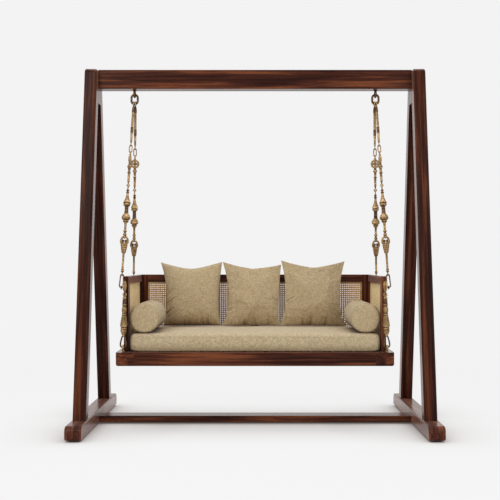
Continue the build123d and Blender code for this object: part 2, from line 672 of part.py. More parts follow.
pendant_runs = []
with BuildPart() as leaf_hooks:
    for side, sx in SIDES:
        for hang_x, hang_y, stud_x, stud_y, leaf_inset in hang_places:
            pear = pear_foot_point(sx, hang_x, hang_y)
            eye = pear - Vector(0, 0, hook_lift)
            leaf_x = eye.X - sx * leaf_inset
            out_y = math.copysign(1, hang_y)
            leaf_y = eye.Y + out_y * leaf_offset
            with Locations(eye):
                Torus(hook_eye_mean_d / 2, small_wire_d / 2, rotation=(0, 90, 0))
            with BuildSketch(Plane.XZ.offset(-leaf_y)):
                with BuildLine():
                    tip = (leaf_x, pear.Z - leaf_drop)
                    left = (leaf_x - leaf_width / 2, pear.Z + leaf_rise - leaf_width / 2)
                    right = (leaf_x + leaf_width / 2, pear.Z + leaf_rise - leaf_width / 2)
                    ThreePointArc(left, (leaf_x, pear.Z + leaf_rise), right)
                    ThreePointArc(right, (leaf_x + leaf_width * leaf_bow_share, pear.Z), tip)
                    ThreePointArc(tip, (leaf_x - leaf_width * leaf_bow_share, pear.Z), left)
                make_face()
            extrude(amount=leaf_thickness / 2, both=True)
            foot_eye_y = leaf_y - out_y * (leaf_thickness / 2 + pendant_wire_d / 2 + metal_fit)
            foot_eye = Vector(leaf_x, foot_eye_y, pear.Z - leaf_drop)
            with Locations(foot_eye):
                Torus(hook_foot_eye_mean_d / 2, hook_foot_wire_d / 2, rotation=(0, 90, 0))
            bridge_y = leaf_y - out_y * leaf_thickness / 2
            with Locations((eye.X - sx * leaf_inset / 2, bridge_y, eye.Z)):
                Box(leaf_inset + small_wire_d, leaf_thickness, small_wire_d * 2)
            stud = Vector(sx * stud_x, stud_y, seat_eye_z + drop_nest)
            pendant_runs.append((chain_plane(foot_eye, stud), (foot_eye - stud).length))
write(leaf_hooks.part, "leaf_hooks")

with BuildPart() as pendants:
    for run, run_length in pendant_runs:
        ring_foot = hook_foot_nest + pendant_ring_mean_d
        body_foot = run_length - drop_height
        with Locations(facing(run, -hook_foot_nest - pendant_ring_mean_d / 2)):
            Torus(pendant_ring_mean_d / 2, pendant_wire_d / 2)
        turned(run, shaped(-ring_foot, pendant_neck_d, pendant_profile,
                           -body_foot - pendant_bite, pendant_foot_d))
        half_top = drop_top_width / 2
        half = drop_mean_width / 2
        wire_loop(facing(run, -body_foot),
                  ((-half_top, 0), (half_top, 0), (half, -drop_height), (-half, -drop_height)),
                  (drop_top_r, drop_top_r, drop_foot_r, drop_foot_r), drop_wire_d)
write(pendants.part, "pendants")

# ---- eye bolts in the seat's side rails, with their nuts let in from below
stud_places = ((front_stud_x, -front_stud_y), (rear_stud_x, rear_stud_y))
every_stud = [(sx * x, y) for sx in (-1, 1) for x, y in stud_places]
seat_shank_foot = seat_bottom + seat_shank_gap
with BuildPart() as seat_eyes:
    for x, y in every_stud:
        with Locations((x, y, seat_eye_z)):
            Torus(seat_eye_mean_d / 2, seat_eye_wire_d / 2, rotation=(0, 90, 0))
        collar_height = seat_eye_height - seat_eye_mean_d / 2
        with Locations((x, y, seat_top + collar_height / 2)):
            Cylinder(seat_collar_d / 2, collar_height)
        with Locations((x, y, (seat_top + seat_shank_foot) / 2)):
            Cylinder(seat_shank_d / 2, seat_top - seat_shank_foot)
write(seat_eyes.part, "seat_eyes")

seat_nut_z = seat_bottom + seat_nut_recess_depth - seat_nut_height
with BuildPart() as seat_eye_nuts:
    for x, y in every_stud:
        with BuildSketch(Plane((x, y, seat_nut_z))):
            RegularPolygon(seat_nut_across / 2, 6, major_radius=False)
            Circle(seat_shank_d / 2, mode=Mode.SUBTRACT)
        extrude(amount=seat_nut_height)
write(seat_eye_nuts.part, "seat_eye_nuts")

# ==================================================================== seat frame
tenon_length, tenon_thickness, tenon_height = rail_tenon
rail_mid_z = (seat_top + seat_bottom) / 2
long_rail_y = seat_depth / 2 - long_rail_width / 2
front_post_y = arm_front_y + arm_post_depth / 2
back_post_mid_x = arm_outer_x - back_post_width / 2
front_tenon_depth = arm_post_depth - 2 * rail_tenon_margin
back_tenon_width = back_post_width - 2 * rail_tenon_margin

for side, sx in SIDES:
    with BuildPart() as side_rail:
        with BuildSketch(Plane.XY.offset(seat_bottom)) as plan:
            with Locations((sx * (side_rail_inner_x + side_rail_width / 2), 0)):
                Rectangle(side_rail_width, seat_depth)
            fillet(plan.vertices().sort_by(lambda v: abs(v.X))[-2:], seat_corner_r)
        extrude(amount=seat_rail_height)
        inner_edge = side_rail.edges().filter_by(Axis.Y).sort_by(lambda e: abs(e.center().X))[:2]
        fillet(side_rail.edges().group_by(Axis.Z)[0] - inner_edge, seat_arris_r)
        for sy in (-1, 1):
            cut_box(2 * (tenon_length + wood_fit), tenon_thickness + 2 * wood_fit,
                    tenon_height + 2 * wood_fit,
                    (sx * side_rail_inner_x, sy * long_rail_y, rail_mid_z))
        cut_box(post_tenon_thickness + 2 * wood_fit, front_tenon_depth + 2 * wood_fit,
                2 * (post_tenon_depth + wood_fit), (sx * arm_mid_x, front_post_y, seat_top))
        cut_box(back_tenon_width + 2 * wood_fit, post_tenon_thickness + 2 * wood_fit,
                2 * (post_tenon_depth + wood_fit), (sx * back_post_mid_x, back_mid_y, seat_top))
        for stud_x, stud_y in stud_places:
            with Locations((sx * stud_x, stud_y, rail_mid_z)):
                Cylinder((seat_shank_d + metal_fit) / 2, seat_rail_height, mode=Mode.SUBTRACT)
            with Locations((sx * stud_x, stud_y, seat_bottom + seat_nut_recess_depth / 2)):
                Cylinder(seat_nut_recess_d / 2, seat_nut_recess_depth, mode=Mode.SUBTRACT)
    write(side_rail.part, f"seat_{side}_rail")

slat_end_y = seat_depth / 2 - long_rail_width + slat_bearing
for end, sy in (("front", -1), ("rear", 1)):
    with BuildPart() as long_rail:
        with Locations((0, sy * long_rail_y, rail_mid_z)):
            Box(2 * side_rail_inner_x, long_rail_width, seat_rail_height)
        low_edges = long_rail.edges().filter_by(Axis.X).group_by(Axis.Z)[0]
        fillet(low_edges.sort_by(lambda e: abs(e.center().Y))[-1], seat_arris_r)
        cut_box(2 * side_rail_inner_x, 2 * slat_bearing, 2 * slat_thickness,
                (0, sy * (slat_end_y - slat_bearing), seat_top))
        for sx in (-1, 1):
            with Locations((sx * (side_rail_inner_x + tenon_length / 2), sy * long_rail_y,
                            rail_mid_z)):
                Box(tenon_length, tenon_thickness, tenon_height)
    write(long_rail.part, f"seat_{end}_rail")

slat_pitch = 2 * side_rail_inner_x / slat_count
with BuildPart() as seat_slats:
    with Locations(Location((0, 0, seat_top - slat_thickness / 2))):
        with GridLocations(slat_pitch, 0, slat_count, 1):
            Box(slat_width, 2 * (slat_end_y - wood_fit), slat_thickness)
write(seat_slats.part, "seat_slats")

# ==================================================================== arms and back
arm_cane_low = seat_top + arm_rail_height
arm_cane_high = arm_top - arm_rail_height
arm_rail_tenon_height = arm_rail_height - 2 * rail_tenon_margin
arm_rail_length = back_front_y - arm_rail_front_y
arm_rail_mid_y = (back_front_y + arm_rail_front_y) / 2
groove_width = cane_thickness + 2 * wood_fit
groove_depth = cane_groove + wood_fit

for side, sx in SIDES:
    post_mid_z = seat_top + arm_height / 2
    with BuildPart() as arm_post:
        with Locations((sx * arm_mid_x, front_post_y, post_mid_z)):
            Box(arm_thickness, arm_post_depth, arm_height)
        front_face = arm_post.faces().sort_by(Axis.Y)[0]
        fillet(front_face.edges().filter_by(Axis.Z), frame_arris_r)
        fillet(arm_post.faces().sort_by(Axis.Z)[-1].edges(), frame_arris_r)
        with Locations((sx * arm_mid_x, front_post_y, seat_top - post_tenon_depth / 2)):
            Box(post_tenon_thickness, front_tenon_depth, post_tenon_depth)
        for rail_z in (seat_top + arm_rail_height / 2, arm_top - arm_rail_height / 2):
            cut_box(post_tenon_thickness + 2 * wood_fit, 2 * (rail_tenon_depth + wood_fit),
                    arm_rail_tenon_height + 2 * wood_fit,
                    (sx * arm_mid_x, arm_rail_front_y, rail_z))
        cut_box(groove_width, 2 * groove_depth, arm_cane_high - arm_cane_low + 2 * groove_depth,
                (sx * arm_mid_x, arm_rail_front_y, (arm_cane_low + arm_cane_high) / 2))
    write(arm_post.part, f"{side}_arm_post")

    for level, rail_z, groove_z in (
            ("top", arm_top - arm_rail_height / 2, arm_cane_high),
            ("bottom", seat_top + arm_rail_height / 2, arm_cane_low)):
        with BuildPart() as arm_rail:
            with Locations((sx * arm_mid_x, arm_rail_mid_y, rail_z)):
                Box(arm_thickness, arm_rail_length, arm_rail_height)
            if level == "top":
                fillet(arm_rail.edges().filter_by(Axis.Y).group_by(Axis.Z)[-1], frame_arris_r)
            with Locations((sx * arm_mid_x, arm_rail_mid_y, rail_z)):
                Box(post_tenon_thickness, arm_rail_length + 2 * rail_tenon_depth,
                    arm_rail_tenon_height)
            cut_box(groove_width, arm_rail_length + 2 * rail_tenon_depth, 2 * groove_depth,
                    (sx * arm_mid_x, arm_rail_mid_y, groove_z))
        write(arm_rail.part, f"{side}_arm_{level}_rail")

arm_cane_mid_z = (arm_cane_low + arm_cane_high) / 2
with BuildPart() as arm_canes:
    with Locations(*((sx * arm_mid_x, arm_rail_mid_y, arm_cane_mid_z) for sx in (-1, 1))):
        Box(cane_thickness, arm_rail_length + 2 * cane_groove,
            arm_cane_high - arm_cane_low + 2 * cane_groove)
write(arm_canes.part, "arm_canes")

back_cane_low = seat_top + back_rail_height
back_cane_high = arm_top - back_rail_height
back_rail_tenon_height = back_rail_height - 2 * rail_tenon_margin
for side, sx in SIDES:
    with BuildPart() as back_post:
        with Locations((sx * back_post_mid_x, back_mid_y, seat_top + arm_height / 2)):
            Box(back_post_width, back_thickness, arm_height)
        outer_face = back_post.faces().sort_by(lambda f: abs(f.center().X))[-1]
        fillet(outer_face.edges().filter_by(Axis.Z), frame_arris_r)
        fillet(back_post.faces().sort_by(Axis.Z)[-1].edges().filter_by(Axis.X), frame_arris_r)
        with Locations((sx * back_post_mid_x, back_mid_y, seat_top - post_tenon_depth / 2)):
            Box(back_tenon_width, post_tenon_thickness, post_tenon_depth)
        for rail_z in (seat_top + arm_rail_height / 2, arm_top - arm_rail_height / 2):
            cut_box(post_tenon_thickness + 2 * wood_fit, 2 * (rail_tenon_depth + wood_fit),
                    arm_rail_tenon_height + 2 * wood_fit, (sx * arm_mid_x, back_front_y, rail_z))
        cut_box(groove_width, 2 * groove_depth, arm_cane_high - arm_cane_low + 2 * groove_depth,
                (sx * arm_mid_x, back_front_y, (arm_cane_low + arm_cane_high) / 2))
        for rail_z in (seat_top + back_rail_height / 2, arm_top - back_rail_height / 2):
            cut_box(2 * (rail_tenon_depth + wood_fit), post_tenon_thickness + 2 * wood_fit,
                    back_rail_tenon_height + 2 * wood_fit,
                    (sx * back_post_inner_x, back_mid_y, rail_z))
        cut_box(2 * groove_depth, groove_width, back_cane_high - back_cane_low + 2 * groove_depth,
                (sx * back_post_inner_x, back_mid_y, (back_cane_low + back_cane_high) / 2))
    write(back_post.part, f"{side}_back_post")

for level, rail_z, groove_z in (
        ("top", arm_top - back_rail_height / 2, back_cane_high),
        ("bottom", seat_top + back_rail_height / 2, back_cane_low)):
    with BuildPart() as back_rail:
        with Locations((0, back_mid_y, rail_z)):
            Box(2 * back_post_inner_x, back_thickness, back_rail_height)
        if level == "top":
            fillet(back_rail.edges().filter_by(Axis.X).group_by(Axis.Z)[-1], frame_arris_r)
        with Locations((0, back_mid_y, rail_z)):
            Box(2 * (back_post_inner_x + rail_tenon_depth), post_tenon_thickness,
                back_rail_tenon_height)
        cut_box(2 * (back_post_inner_x + rail_tenon_depth), groove_width, 2 * groove_depth,
                (0, back_mid_y, groove_z))
        cut_box(back_stile_width - 2 * rail_tenon_margin + 2 * wood_fit,
                post_tenon_thickness + 2 * wood_fit, 2 * (rail_tenon_depth + wood_fit),
                (0, back_mid_y, groove_z))
    write(back_rail.part, f"back_{level}_rail")

with BuildPart() as back_stile:
    back_cane_mid_z = (back_cane_low + back_cane_high) / 2
    back_cane_height = back_cane_high - back_cane_low
    with Locations((0, back_mid_y, back_cane_mid_z)):
        Box(back_stile_width, back_thickness, back_cane_height)
        Box(back_stile_width - 2 * rail_tenon_margin, post_tenon_thickness,
            back_cane_height + 2 * rail_tenon_depth)
    for sx in (-1, 1):
        cut_box(2 * groove_depth, groove_width, back_cane_height,
                (sx * back_stile_width / 2, back_mid_y, back_cane_mid_z))
write(back_stile.part, "back_stile")

panel_width = back_post_inner_x - back_stile_width / 2
panel_mid_x = (back_post_inner_x + back_stile_width / 2) / 2
with BuildPart() as back_cane:
    with Locations(*((sx * panel_mid_x, back_mid_y, back_cane_mid_z) for sx in (-1, 1))):
        Box(panel_width + 2 * cane_groove, cane_thickness, back_cane_height + 2 * cane_groove)
write(back_cane.part, "back_cane")

bead_y = back_mid_y - cane_thickness / 2 - bead_thickness / 2
with BuildPart() as back_beads:
    with Locations(*((sx * panel_mid_x, bead_y, back_cane_mid_z) for sx in (-1, 1))):
        Box(panel_width, bead_thickness, back_cane_height)
        Box(panel_width - 2 * bead_width, bead_thickness, back_cane_height - 2 * bead_width,
            mode=Mode.SUBTRACT)
write(back_beads.part, "back_beads")

# ==================================================================== cushions
mattress_front_y = -seat_depth / 2 + mattress_front_gap
mattress_rear_y = back_front_y - mattress_back_gap
with BuildPart() as mattress:
    with BuildSketch(Plane.XY.offset(seat_top + rest_gap)) as plan:
        with Locations((0, (mattress_front_y + mattress_rear_y) / 2)):
            RectangleRounded(2 * (arm_inner_x - mattress_side_gap),
                             mattress_rear_y - mattress_front_y, mattress_corner_r)
    extrude(amount=mattress_height)
    fillet(mattress.edges().group_by(Axis.Z)[-1] + mattress.edges().group_by(Axis.Z)[0],
           mattress_edge_r)
write(mattress.part, "mattress")

# ---- back cushions lean on the back; the rear upper edge stays clear of it
lean = math.radians(cushion_lean)
edge_lift = cushion_edge_r * (math.cos(lean) + math.sin(lean) - 1)
bottom_rear_y = back_front_y - rest_gap + edge_lift - cushion_height * math.sin(lean)
bottom_rear_z = mattress_top + rest_gap - edge_lift
for index, name in enumerate(("left_cushion", "centre_cushion", "right_cushion")):
    middle_x = cushion_shift + (index - 1) * cushion_pitch
    lean_plane = Plane(origin=(middle_x, bottom_rear_y, bottom_rear_z), x_dir=(1, 0, 0),
                       z_dir=(0, -math.cos(lean), math.sin(lean)))
    with BuildPart() as cushion:
        with BuildSketch(lean_plane):
            with Locations((0, cushion_height / 2)):
                RectangleRounded(cushion_size, cushion_height, cushion_corner_r)
        extrude(amount=cushion_thickness)
        rims = cushion.edges().filter_by(lambda e: abs(e.tangent_at(0).dot(lean_plane.z_dir)) < 0.5)
        fillet(rims, cushion_edge_r)
    write(cushion.part, name)

bolster_x = arm_inner_x - rest_gap - bolster_d / 2
bolster_z = mattress_top + rest_gap + bolster_d / 2
bolster_mid_y = -seat_depth / 2 + bolster_front_gap + bolster_length / 2
for side, sx in SIDES:
    with BuildPart() as bolster:
        with Locations((sx * bolster_x, bolster_mid_y, bolster_z)):
            Cylinder(bolster_d / 2, bolster_length, rotation=(90, 0, 0))
        fillet(bolster.edges().filter_by(GeomType.CIRCLE), bolster_edge_r)
    write(bolster.part, f"{side}_bolster")
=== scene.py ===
"""Looks of the jhoola swing, in metres, in the part's frame: +Z up, +X right, front at -Y."""
import math

import bmesh
import bpy
from mathutils import Matrix, Vector, noise


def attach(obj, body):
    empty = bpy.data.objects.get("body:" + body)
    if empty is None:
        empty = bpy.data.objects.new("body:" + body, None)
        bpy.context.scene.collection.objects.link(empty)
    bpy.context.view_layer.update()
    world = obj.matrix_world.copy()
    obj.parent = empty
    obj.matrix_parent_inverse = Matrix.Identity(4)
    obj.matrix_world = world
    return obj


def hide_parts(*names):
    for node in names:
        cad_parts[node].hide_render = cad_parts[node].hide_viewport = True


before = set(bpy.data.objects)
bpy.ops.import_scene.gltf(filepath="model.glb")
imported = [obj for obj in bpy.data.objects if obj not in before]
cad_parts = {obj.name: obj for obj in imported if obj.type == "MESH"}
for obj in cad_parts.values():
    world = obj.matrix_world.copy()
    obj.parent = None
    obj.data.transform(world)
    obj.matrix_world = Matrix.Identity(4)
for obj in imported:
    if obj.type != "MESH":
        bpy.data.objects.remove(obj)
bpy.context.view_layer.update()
MM = 0.001
SIDES = (("left", -1), ("right", 1))
QUARTER = math.pi / 2

# ------------------------------------------------------------------ camera
IMAGE_SIZE = 500
FOCAL_PIXELS = 889
SENSOR = 36.0
CAMERA_PLACE = (0, -5.4, 0.983)
SHIFT_PIXELS = (-5, 10)
camera_data = bpy.data.cameras.new("camera")
camera_data.sensor_width = SENSOR
camera_data.lens = FOCAL_PIXELS / IMAGE_SIZE * SENSOR
camera_data.shift_x, camera_data.shift_y = (pixels / IMAGE_SIZE for pixels in SHIFT_PIXELS)
camera = bpy.data.objects.new("camera", camera_data)
camera.location = CAMERA_PLACE
camera.rotation_euler = (QUARTER, 0, 0)
bpy.context.scene.collection.objects.link(camera)
bpy.context.scene.camera = camera
bpy.context.scene.view_settings.view_transform = "Standard"


# ------------------------------------------------------------------ node helpers
def srgb(red, green, blue):
    """A colour written as 0-255 sRGB, as linear RGBA."""
    def linear(value):
        value /= 255
        return value / 12.92 if value <= 0.04045 else ((value + 0.055) / 1.055) ** 2.4
    return (linear(red), linear(green), linear(blue), 1.0)


def feed(tree, node, inputs):
    """Sets a node's inputs to values, or links them to sockets."""
    for key, value in inputs.items():
        if isinstance(value, bpy.types.NodeSocket):
            tree.links.new(value, node.inputs[key])
        else:
            node.inputs[key].default_value = value


def put(tree, kind, inputs=None, **settings):
    """Adds a shader node with its settings and inputs."""
    made = tree.nodes.new("ShaderNode" + kind)
    for key, value in settings.items():
        setattr(made, key, value)
    feed(tree, made, inputs or {})
    return made


def ramp(tree, value, stops):
    """A colour ramp's colour output, from (place, colour) stops."""
    made = put(tree, "ValToRGB", {"Fac": value})
    elements = made.color_ramp.elements
    while len(elements) < len(stops):
        elements.new(0.5)
    for element, (place, colour) in zip(elements, stops):
        element.position = place
        element.color = colour
    return made.outputs["Color"]


def grey(value):
    return (value, value, value, 1.0)


def new_material(name):
    made = bpy.data.materials.new(name)
    made.use_nodes = True
    return made, made.node_tree, made.node_tree.nodes["Principled BSDF"]


def maths(tree, operation, first, second):
    return put(tree, "Math", {0: first, 1: second}, operation=operation).outputs["Value"]


def object_place(tree):
    return put(tree, "TexCoord").outputs["Object"]


def cloud(tree, place, scale, detail=2.0, roughness=0.5, distortion=0.0):
    """A noise's value at each place."""
    return put(tree, "TexNoise", {"Vector": place, "Scale": scale, "Detail": detail,
                                  "Roughness": roughness,
                                  "Distortion": distortion}).outputs["Fac"]


def mixed(tree, share, first, second, way="MIX"):
    return put(tree, "MixRGB", {"Fac": share, "Color1": first, "Color2": second},
               blend_type=way).outputs["Color"]


def darkened(tree, colour, shade):
    return mixed(tree, 1.0, colour, shade, "MULTIPLY")


def patina_and_painted_shade(tree, distance, stops, samples=8):
    """A colour that follows how far near surfaces shut the light out: patina in the brass,
    painted shade on the cloth and painted shadow on the floor.
    """
    near = put(tree, "AmbientOcclusion", {"Distance": distance}, samples=samples)
    return ramp(tree, near.outputs["AO"], stops)


def relief(tree, height, strength, distance):
    return put(tree, "Bump", {"Height": height, "Strength": strength,
                              "Distance": distance}).outputs["Normal"]


# ------------------------------------------------------------------ materials
def wood(name, turn, dark, middle, light, rough=0.3, cross=(1.0, 1.0)):
    """Polished open-pored wood, its grain along X once turned; cross scales its figure."""
    made, tree, shader = new_material(name)
    along = put(tree, "Mapping", {"Vector": object_place(tree),
                                  "Rotation": turn}).outputs["Vector"]
    wide, high = cross

    def stretched(scale):
        return put(tree, "Mapping", {"Vector": along, "Scale": scale}).outputs["Vector"]
    figure = cloud(tree, stretched((0.9, 20 * wide, 20 * high)), 1.0, 4.0, 0.55, 1.0)
    lines = cloud(tree, stretched((2.2, 80 * wide, 80 * high)), 1.0, 5.0, 0.62, 0.5)
    pores = cloud(tree, stretched((22, 620, 620)), 1.0)
    bands = maths(tree, "ADD", maths(tree, "MULTIPLY", figure, 0.5),
                  maths(tree, "MULTIPLY", lines, 0.5))
    colour = ramp(tree, bands, ((0.40, dark), (0.5, middle), (0.60, light)))
    pits = ramp(tree, pores, ((0.30, grey(0.6)), (0.46, grey(1.0))))
    height = maths(tree, "ADD", maths(tree, "MULTIPLY", pores, 0.6),
                   maths(tree, "MULTIPLY", lines, 0.6))
    feed(tree, shader, {
        "Base Color": darkened(tree, colour, pits),
        "Roughness": ramp(tree, lines, ((0.3, grey(rough + 0.08)), (0.7, grey(rough - 0.05)))),
        "Normal": relief(tree, height, 0.12, 0.0005),
        "IOR": 1.13, "Specular Tint": (1.0, 0.72, 0.6, 1.0),
        "Coat Weight": 1.0, "Coat IOR": 1.12, "Coat Roughness": 0.22,
        "Sheen Weight": 0.22, "Sheen Roughness": 0.3, "Sheen Tint": (1.0, 0.66, 0.54, 1.0)})
    return made


LEG_SPREAD, LEG_HEIGHT = 0.445 - 0.088, 2.130 - 0.085
lean_angle = math.atan(LEG_SPREAD / LEG_HEIGHT)
BODY_TONES = (srgb(40, 17, 12), srgb(68, 34, 24), srgb(112, 62, 38))
LEG_TONES = (srgb(32, 13, 9), srgb(54, 25, 17), srgb(92, 48, 29))
FOOT_TONES = (srgb(50, 23, 16), srgb(86, 47, 35), srgb(130, 78, 54))
UPRIGHT_LAYERS, FLAT_LAYERS = (1.0, 0.3), (0.3, 1.0)
walnut = {
    "x": wood("walnut_x", (0, 0, 0), *BODY_TONES),
    "y": wood("walnut_y", (0, 0, -QUARTER), *BODY_TONES, cross=FLAT_LAYERS),
    "y_upright": wood("walnut_foot", (0, 0, -QUARTER), *FOOT_TONES, cross=UPRIGHT_LAYERS),
    "z": wood("walnut_z", (0, QUARTER, 0), *BODY_TONES),
    "front_lean": wood("walnut_front_leg", (lean_angle, QUARTER, 0), *LEG_TONES),
    "rear_lean": wood("walnut_rear_leg", (-lean_angle, QUARTER, 0), *LEG_TONES),
}
plain = wood("plain_wood", (0, 0, -QUARTER), srgb(150, 112, 72), srgb(176, 137, 92),
             srgb(200, 164, 118), rough=0.6)
bead_wood = wood("bead_wood", (0, 0, 0), srgb(172, 134, 88), srgb(202, 166, 118),
                 srgb(222, 192, 148), rough=0.5)


def brass(name, dark, middle, light, rough):
    """Cast brass, browned all over, darker in its hollows and rubbed bright on its edges."""
    made, tree, shader = new_material(name)
    place = object_place(tree)
    patches = cloud(tree, place, 75.0, 5.0, 0.65)
    colour = ramp(tree, patches, ((0.36, dark), (0.5, middle), (0.66, light)))
    edge = ramp(tree, put(tree, "NewGeometry").outputs["Pointiness"],
                ((0.5, grey(0.0)), (0.62, grey(0.6))))
    depth = patina_and_painted_shade(tree, 0.010, ((0.15, srgb(88, 64, 44)), (0.75, grey(1.0))))
    feed(tree, shader, {
        "Base Color": darkened(tree, mixed(tree, edge, colour, light), depth),
        "Metallic": 0.7,
        "Roughness": ramp(tree, patches, ((0.3, grey(rough + 0.14)), (0.7, grey(rough)))),
        "Normal": relief(tree, cloud(tree, place, 420.0, 3.0), 0.3, 0.0005)})
    return made


old_brass = brass("antique_brass", srgb(116, 86, 54), srgb(148, 116, 76), srgb(190, 160, 116),
                  0.36)
dark_brass = brass("dark_brass", srgb(54, 36, 24), srgb(82, 58, 36), srgb(124, 94, 60), 0.38)
steel = brass("zinc_steel", srgb(120, 120, 120), srgb(150, 150, 150), srgb(175, 175, 175), 0.3)


def fabric(name, base, light, fleck):
    """Coarse beige boucle: curled loops, mottled, with brown flecks, and painted shade where near
    surfaces close in.
    """
    made, tree, shader = new_material(name)
    place = object_place(tree)
    warp = put(tree, "TexNoise", {"Vector": place, "Scale": 160.0, "Detail": 2.0})
    bent = mixed(tree, 0.006, place, warp.outputs["Color"], "ADD")
    loops = put(tree, "TexVoronoi", {"Vector": bent, "Scale": 230.0},
                feature="F1").outputs["Distance"]
    yarn = cloud(tree, place, 900.0, 3.0)
    mottle = cloud(tree, place, 85.0, 5.0, 0.72)
    specks = cloud(tree, place, 240.0, 4.0, 0.7)
    tone = ramp(tree, mottle, ((0.34, base), (0.64, light)))
    marks = ramp(tree, specks, ((0.59, grey(0.0)), (0.70, grey(0.7))))
    pits = ramp(tree, loops, ((0.25, grey(1.0)), (0.8, grey(0.72))))
    # painted shade: the cloth turns darker and browner where near surfaces shut the light out, as
    # under the cushions and in their folds
    depth = patina_and_painted_shade(tree, 0.13, ((0.2, srgb(150, 124, 92)), (0.55, srgb(226, 219, 209)),
                                 (0.9, grey(1.0))))
    height = maths(tree, "SUBTRACT", maths(tree, "MULTIPLY", yarn, 0.35), loops)
    feed(tree, shader, {
        "Base Color": darkened(tree, darkened(tree, mixed(tree, marks, tone, fleck), pits),
                               depth),
        "Normal": relief(tree, height, 0.75, 0.0022),
        "Roughness": 0.92, "Specular IOR Level": 0.2, "Sheen Weight": 0.18})
    return made


cloth = fabric("boucle", srgb(178, 157, 123), srgb(208, 190, 157), srgb(140, 106, 66))
pillow_cloth = fabric("boucle_pillow", srgb(168, 146, 109), srgb(199, 179, 143),
                      srgb(132, 98, 58))
piping_cloth = fabric("boucle_seam", srgb(154, 132, 99), srgb(184, 164, 130),
                      srgb(122, 92, 56))


def cane(name, dark, light):
    """Split rattan: straw strips with fine lines and darker patches."""
    made, tree, shader = new_material(name)
    place = object_place(tree)
    colour = ramp(tree, cloud(tree, place, 70.0, 4.0), ((0.35, dark), (0.65, light)))
    fine = cloud(tree, place, 900.0)
    lines = ramp(tree, fine, ((0.3, grey(0.86)), (0.6, grey(1.0))))
    feed(tree, shader, {
        "Base Color": darkened(tree, colour, lines),
        "Normal": relief(tree, fine, 0.2, 0.0003),
        "Roughness": 0.45, "Specular IOR Level": 0.2})
    return made


straw = cane("straw_cane", srgb(244, 218, 166), srgb(254, 242, 204))
crossing_straw = cane("crossing_straw_cane", srgb(220, 190, 136), srgb(244, 222, 176))
back_straw = cane("back_straw_cane", srgb(188, 140, 74), srgb(228, 186, 112))


def glide_rubber():
    """Dull black rubber with a fine grain."""
    made, tree, shader = new_material("glide_rubber")
    grain = cloud(tree, object_place(tree), 300.0)
    feed(tree, shader, {
        "Base Color": ramp(tree, grain, ((0.3, grey(0.012)), (0.7, grey(0.03)))),
        "Normal": relief(tree, grain, 0.2, 0.0005), "Roughness": 0.75})
    return made


def both(*names):
    return tuple(f"{side}_{name}" for side, sign in SIDES for name in names)


# The finish of each node that keeps its CAD shape; the rest are brass or get a piece below.
finish_of = {}
for finish, names in (
        (walnut["x"], ("top_beam", "stretcher", "seat_front_rail", "seat_rear_rail",
                       "back_top_rail", "back_bottom_rail")),
        (walnut["y"], both("arm_top_rail", "arm_bottom_rail")
                      + ("seat_left_rail", "seat_right_rail")),
        (walnut["y_upright"], both("foot")),
        (walnut["z"], both("head_wedge", "arm_post", "back_post") + ("back_stile",)),
        (walnut["front_lean"], both("front_leg")),
        (walnut["rear_lean"], both("rear_leg")),
        (plain, ("seat_slats", "head_dowels")),
        (steel, ("frame_bolts", "barrel_nuts", "eye_bolt_nuts", "seat_eye_nuts")),
        (dark_brass, both("eye_bolt", "pear_links", "top_ring")),
        (bead_wood, ("back_beads",)),
        (glide_rubber(), ("foot_glides",))):
    finish_of.update(dict.fromkeys(names, finish))
for name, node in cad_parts.items():
    node.data.materials.clear()
    node.data.materials.append(finish_of.get(name, old_brass))


# ------------------------------------------------------------------ mesh helpers
def new_piece(name, work, materials, body, stands_for=(), smooth=True):
    """Makes an object of a bmesh, puts it on its body and hides the CAD nodes it stands for."""
    mesh = bpy.data.meshes.new(name)
    bmesh.ops.recalc_face_normals(work, faces=work.faces)
    work.to_mesh(mesh)
    work.free()
    for finish in materials:
        mesh.materials.append(finish)
    if smooth:
        mesh.shade_smooth()
    made = bpy.data.objects.new(name, mesh)
    bpy.context.scene.collection.objects.link(made)
    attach(made, body)
    if stands_for:
        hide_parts(*stands_for)
    return made


class Run:
    """A straight hanging run: places are (across, back, down) from its top, in millimetres."""

    def __init__(self, top, foot, face_on=False):
        self.face_on = face_on      # whether its openwork wheel faces the front
        self.top = Vector(top)
        self.up = (self.top - Vector(foot)).normalized()
        self.back = self.up.cross(Vector((1, 0, 0))).normalized()
        self.across = self.back.cross(self.up)

    def at(self, across, back, down):
        return self.top + (self.across * across + self.back * back - self.up * down) * MM


ACROSS, BACK, DOWN = (1, 0, 0), (0, 1, 0), (0, 0, 1)


def skin(work, rings, closed_ring=True, caps=True, tone=0):
    """Faces between successive rings of vertices."""
    count = len(rings[0])
    for low, high in zip(rings, rings[1:]):
        for i in range(count if closed_ring else count - 1):
            j = (i + 1) % count
            work.faces.new((low[i], low[j], high[j], high[i])).material_index = tone
    if caps:
        for ring in (rings[0], rings[-1]):
            work.faces.new(ring).material_index = tone


# A stretch of a turned body is its length and the radii at its ends, and where they are
# wanted a swell between them, a number of flutes, the flutes' depth, and the material index.
UNCARVED = (0.0, 0, 0.0, 0)


def dark(*stretch):
    """A stretch in the darkened brass, which is each piece's second material."""
    return stretch + UNCARVED[len(stretch) - 3:-1] + (1,)


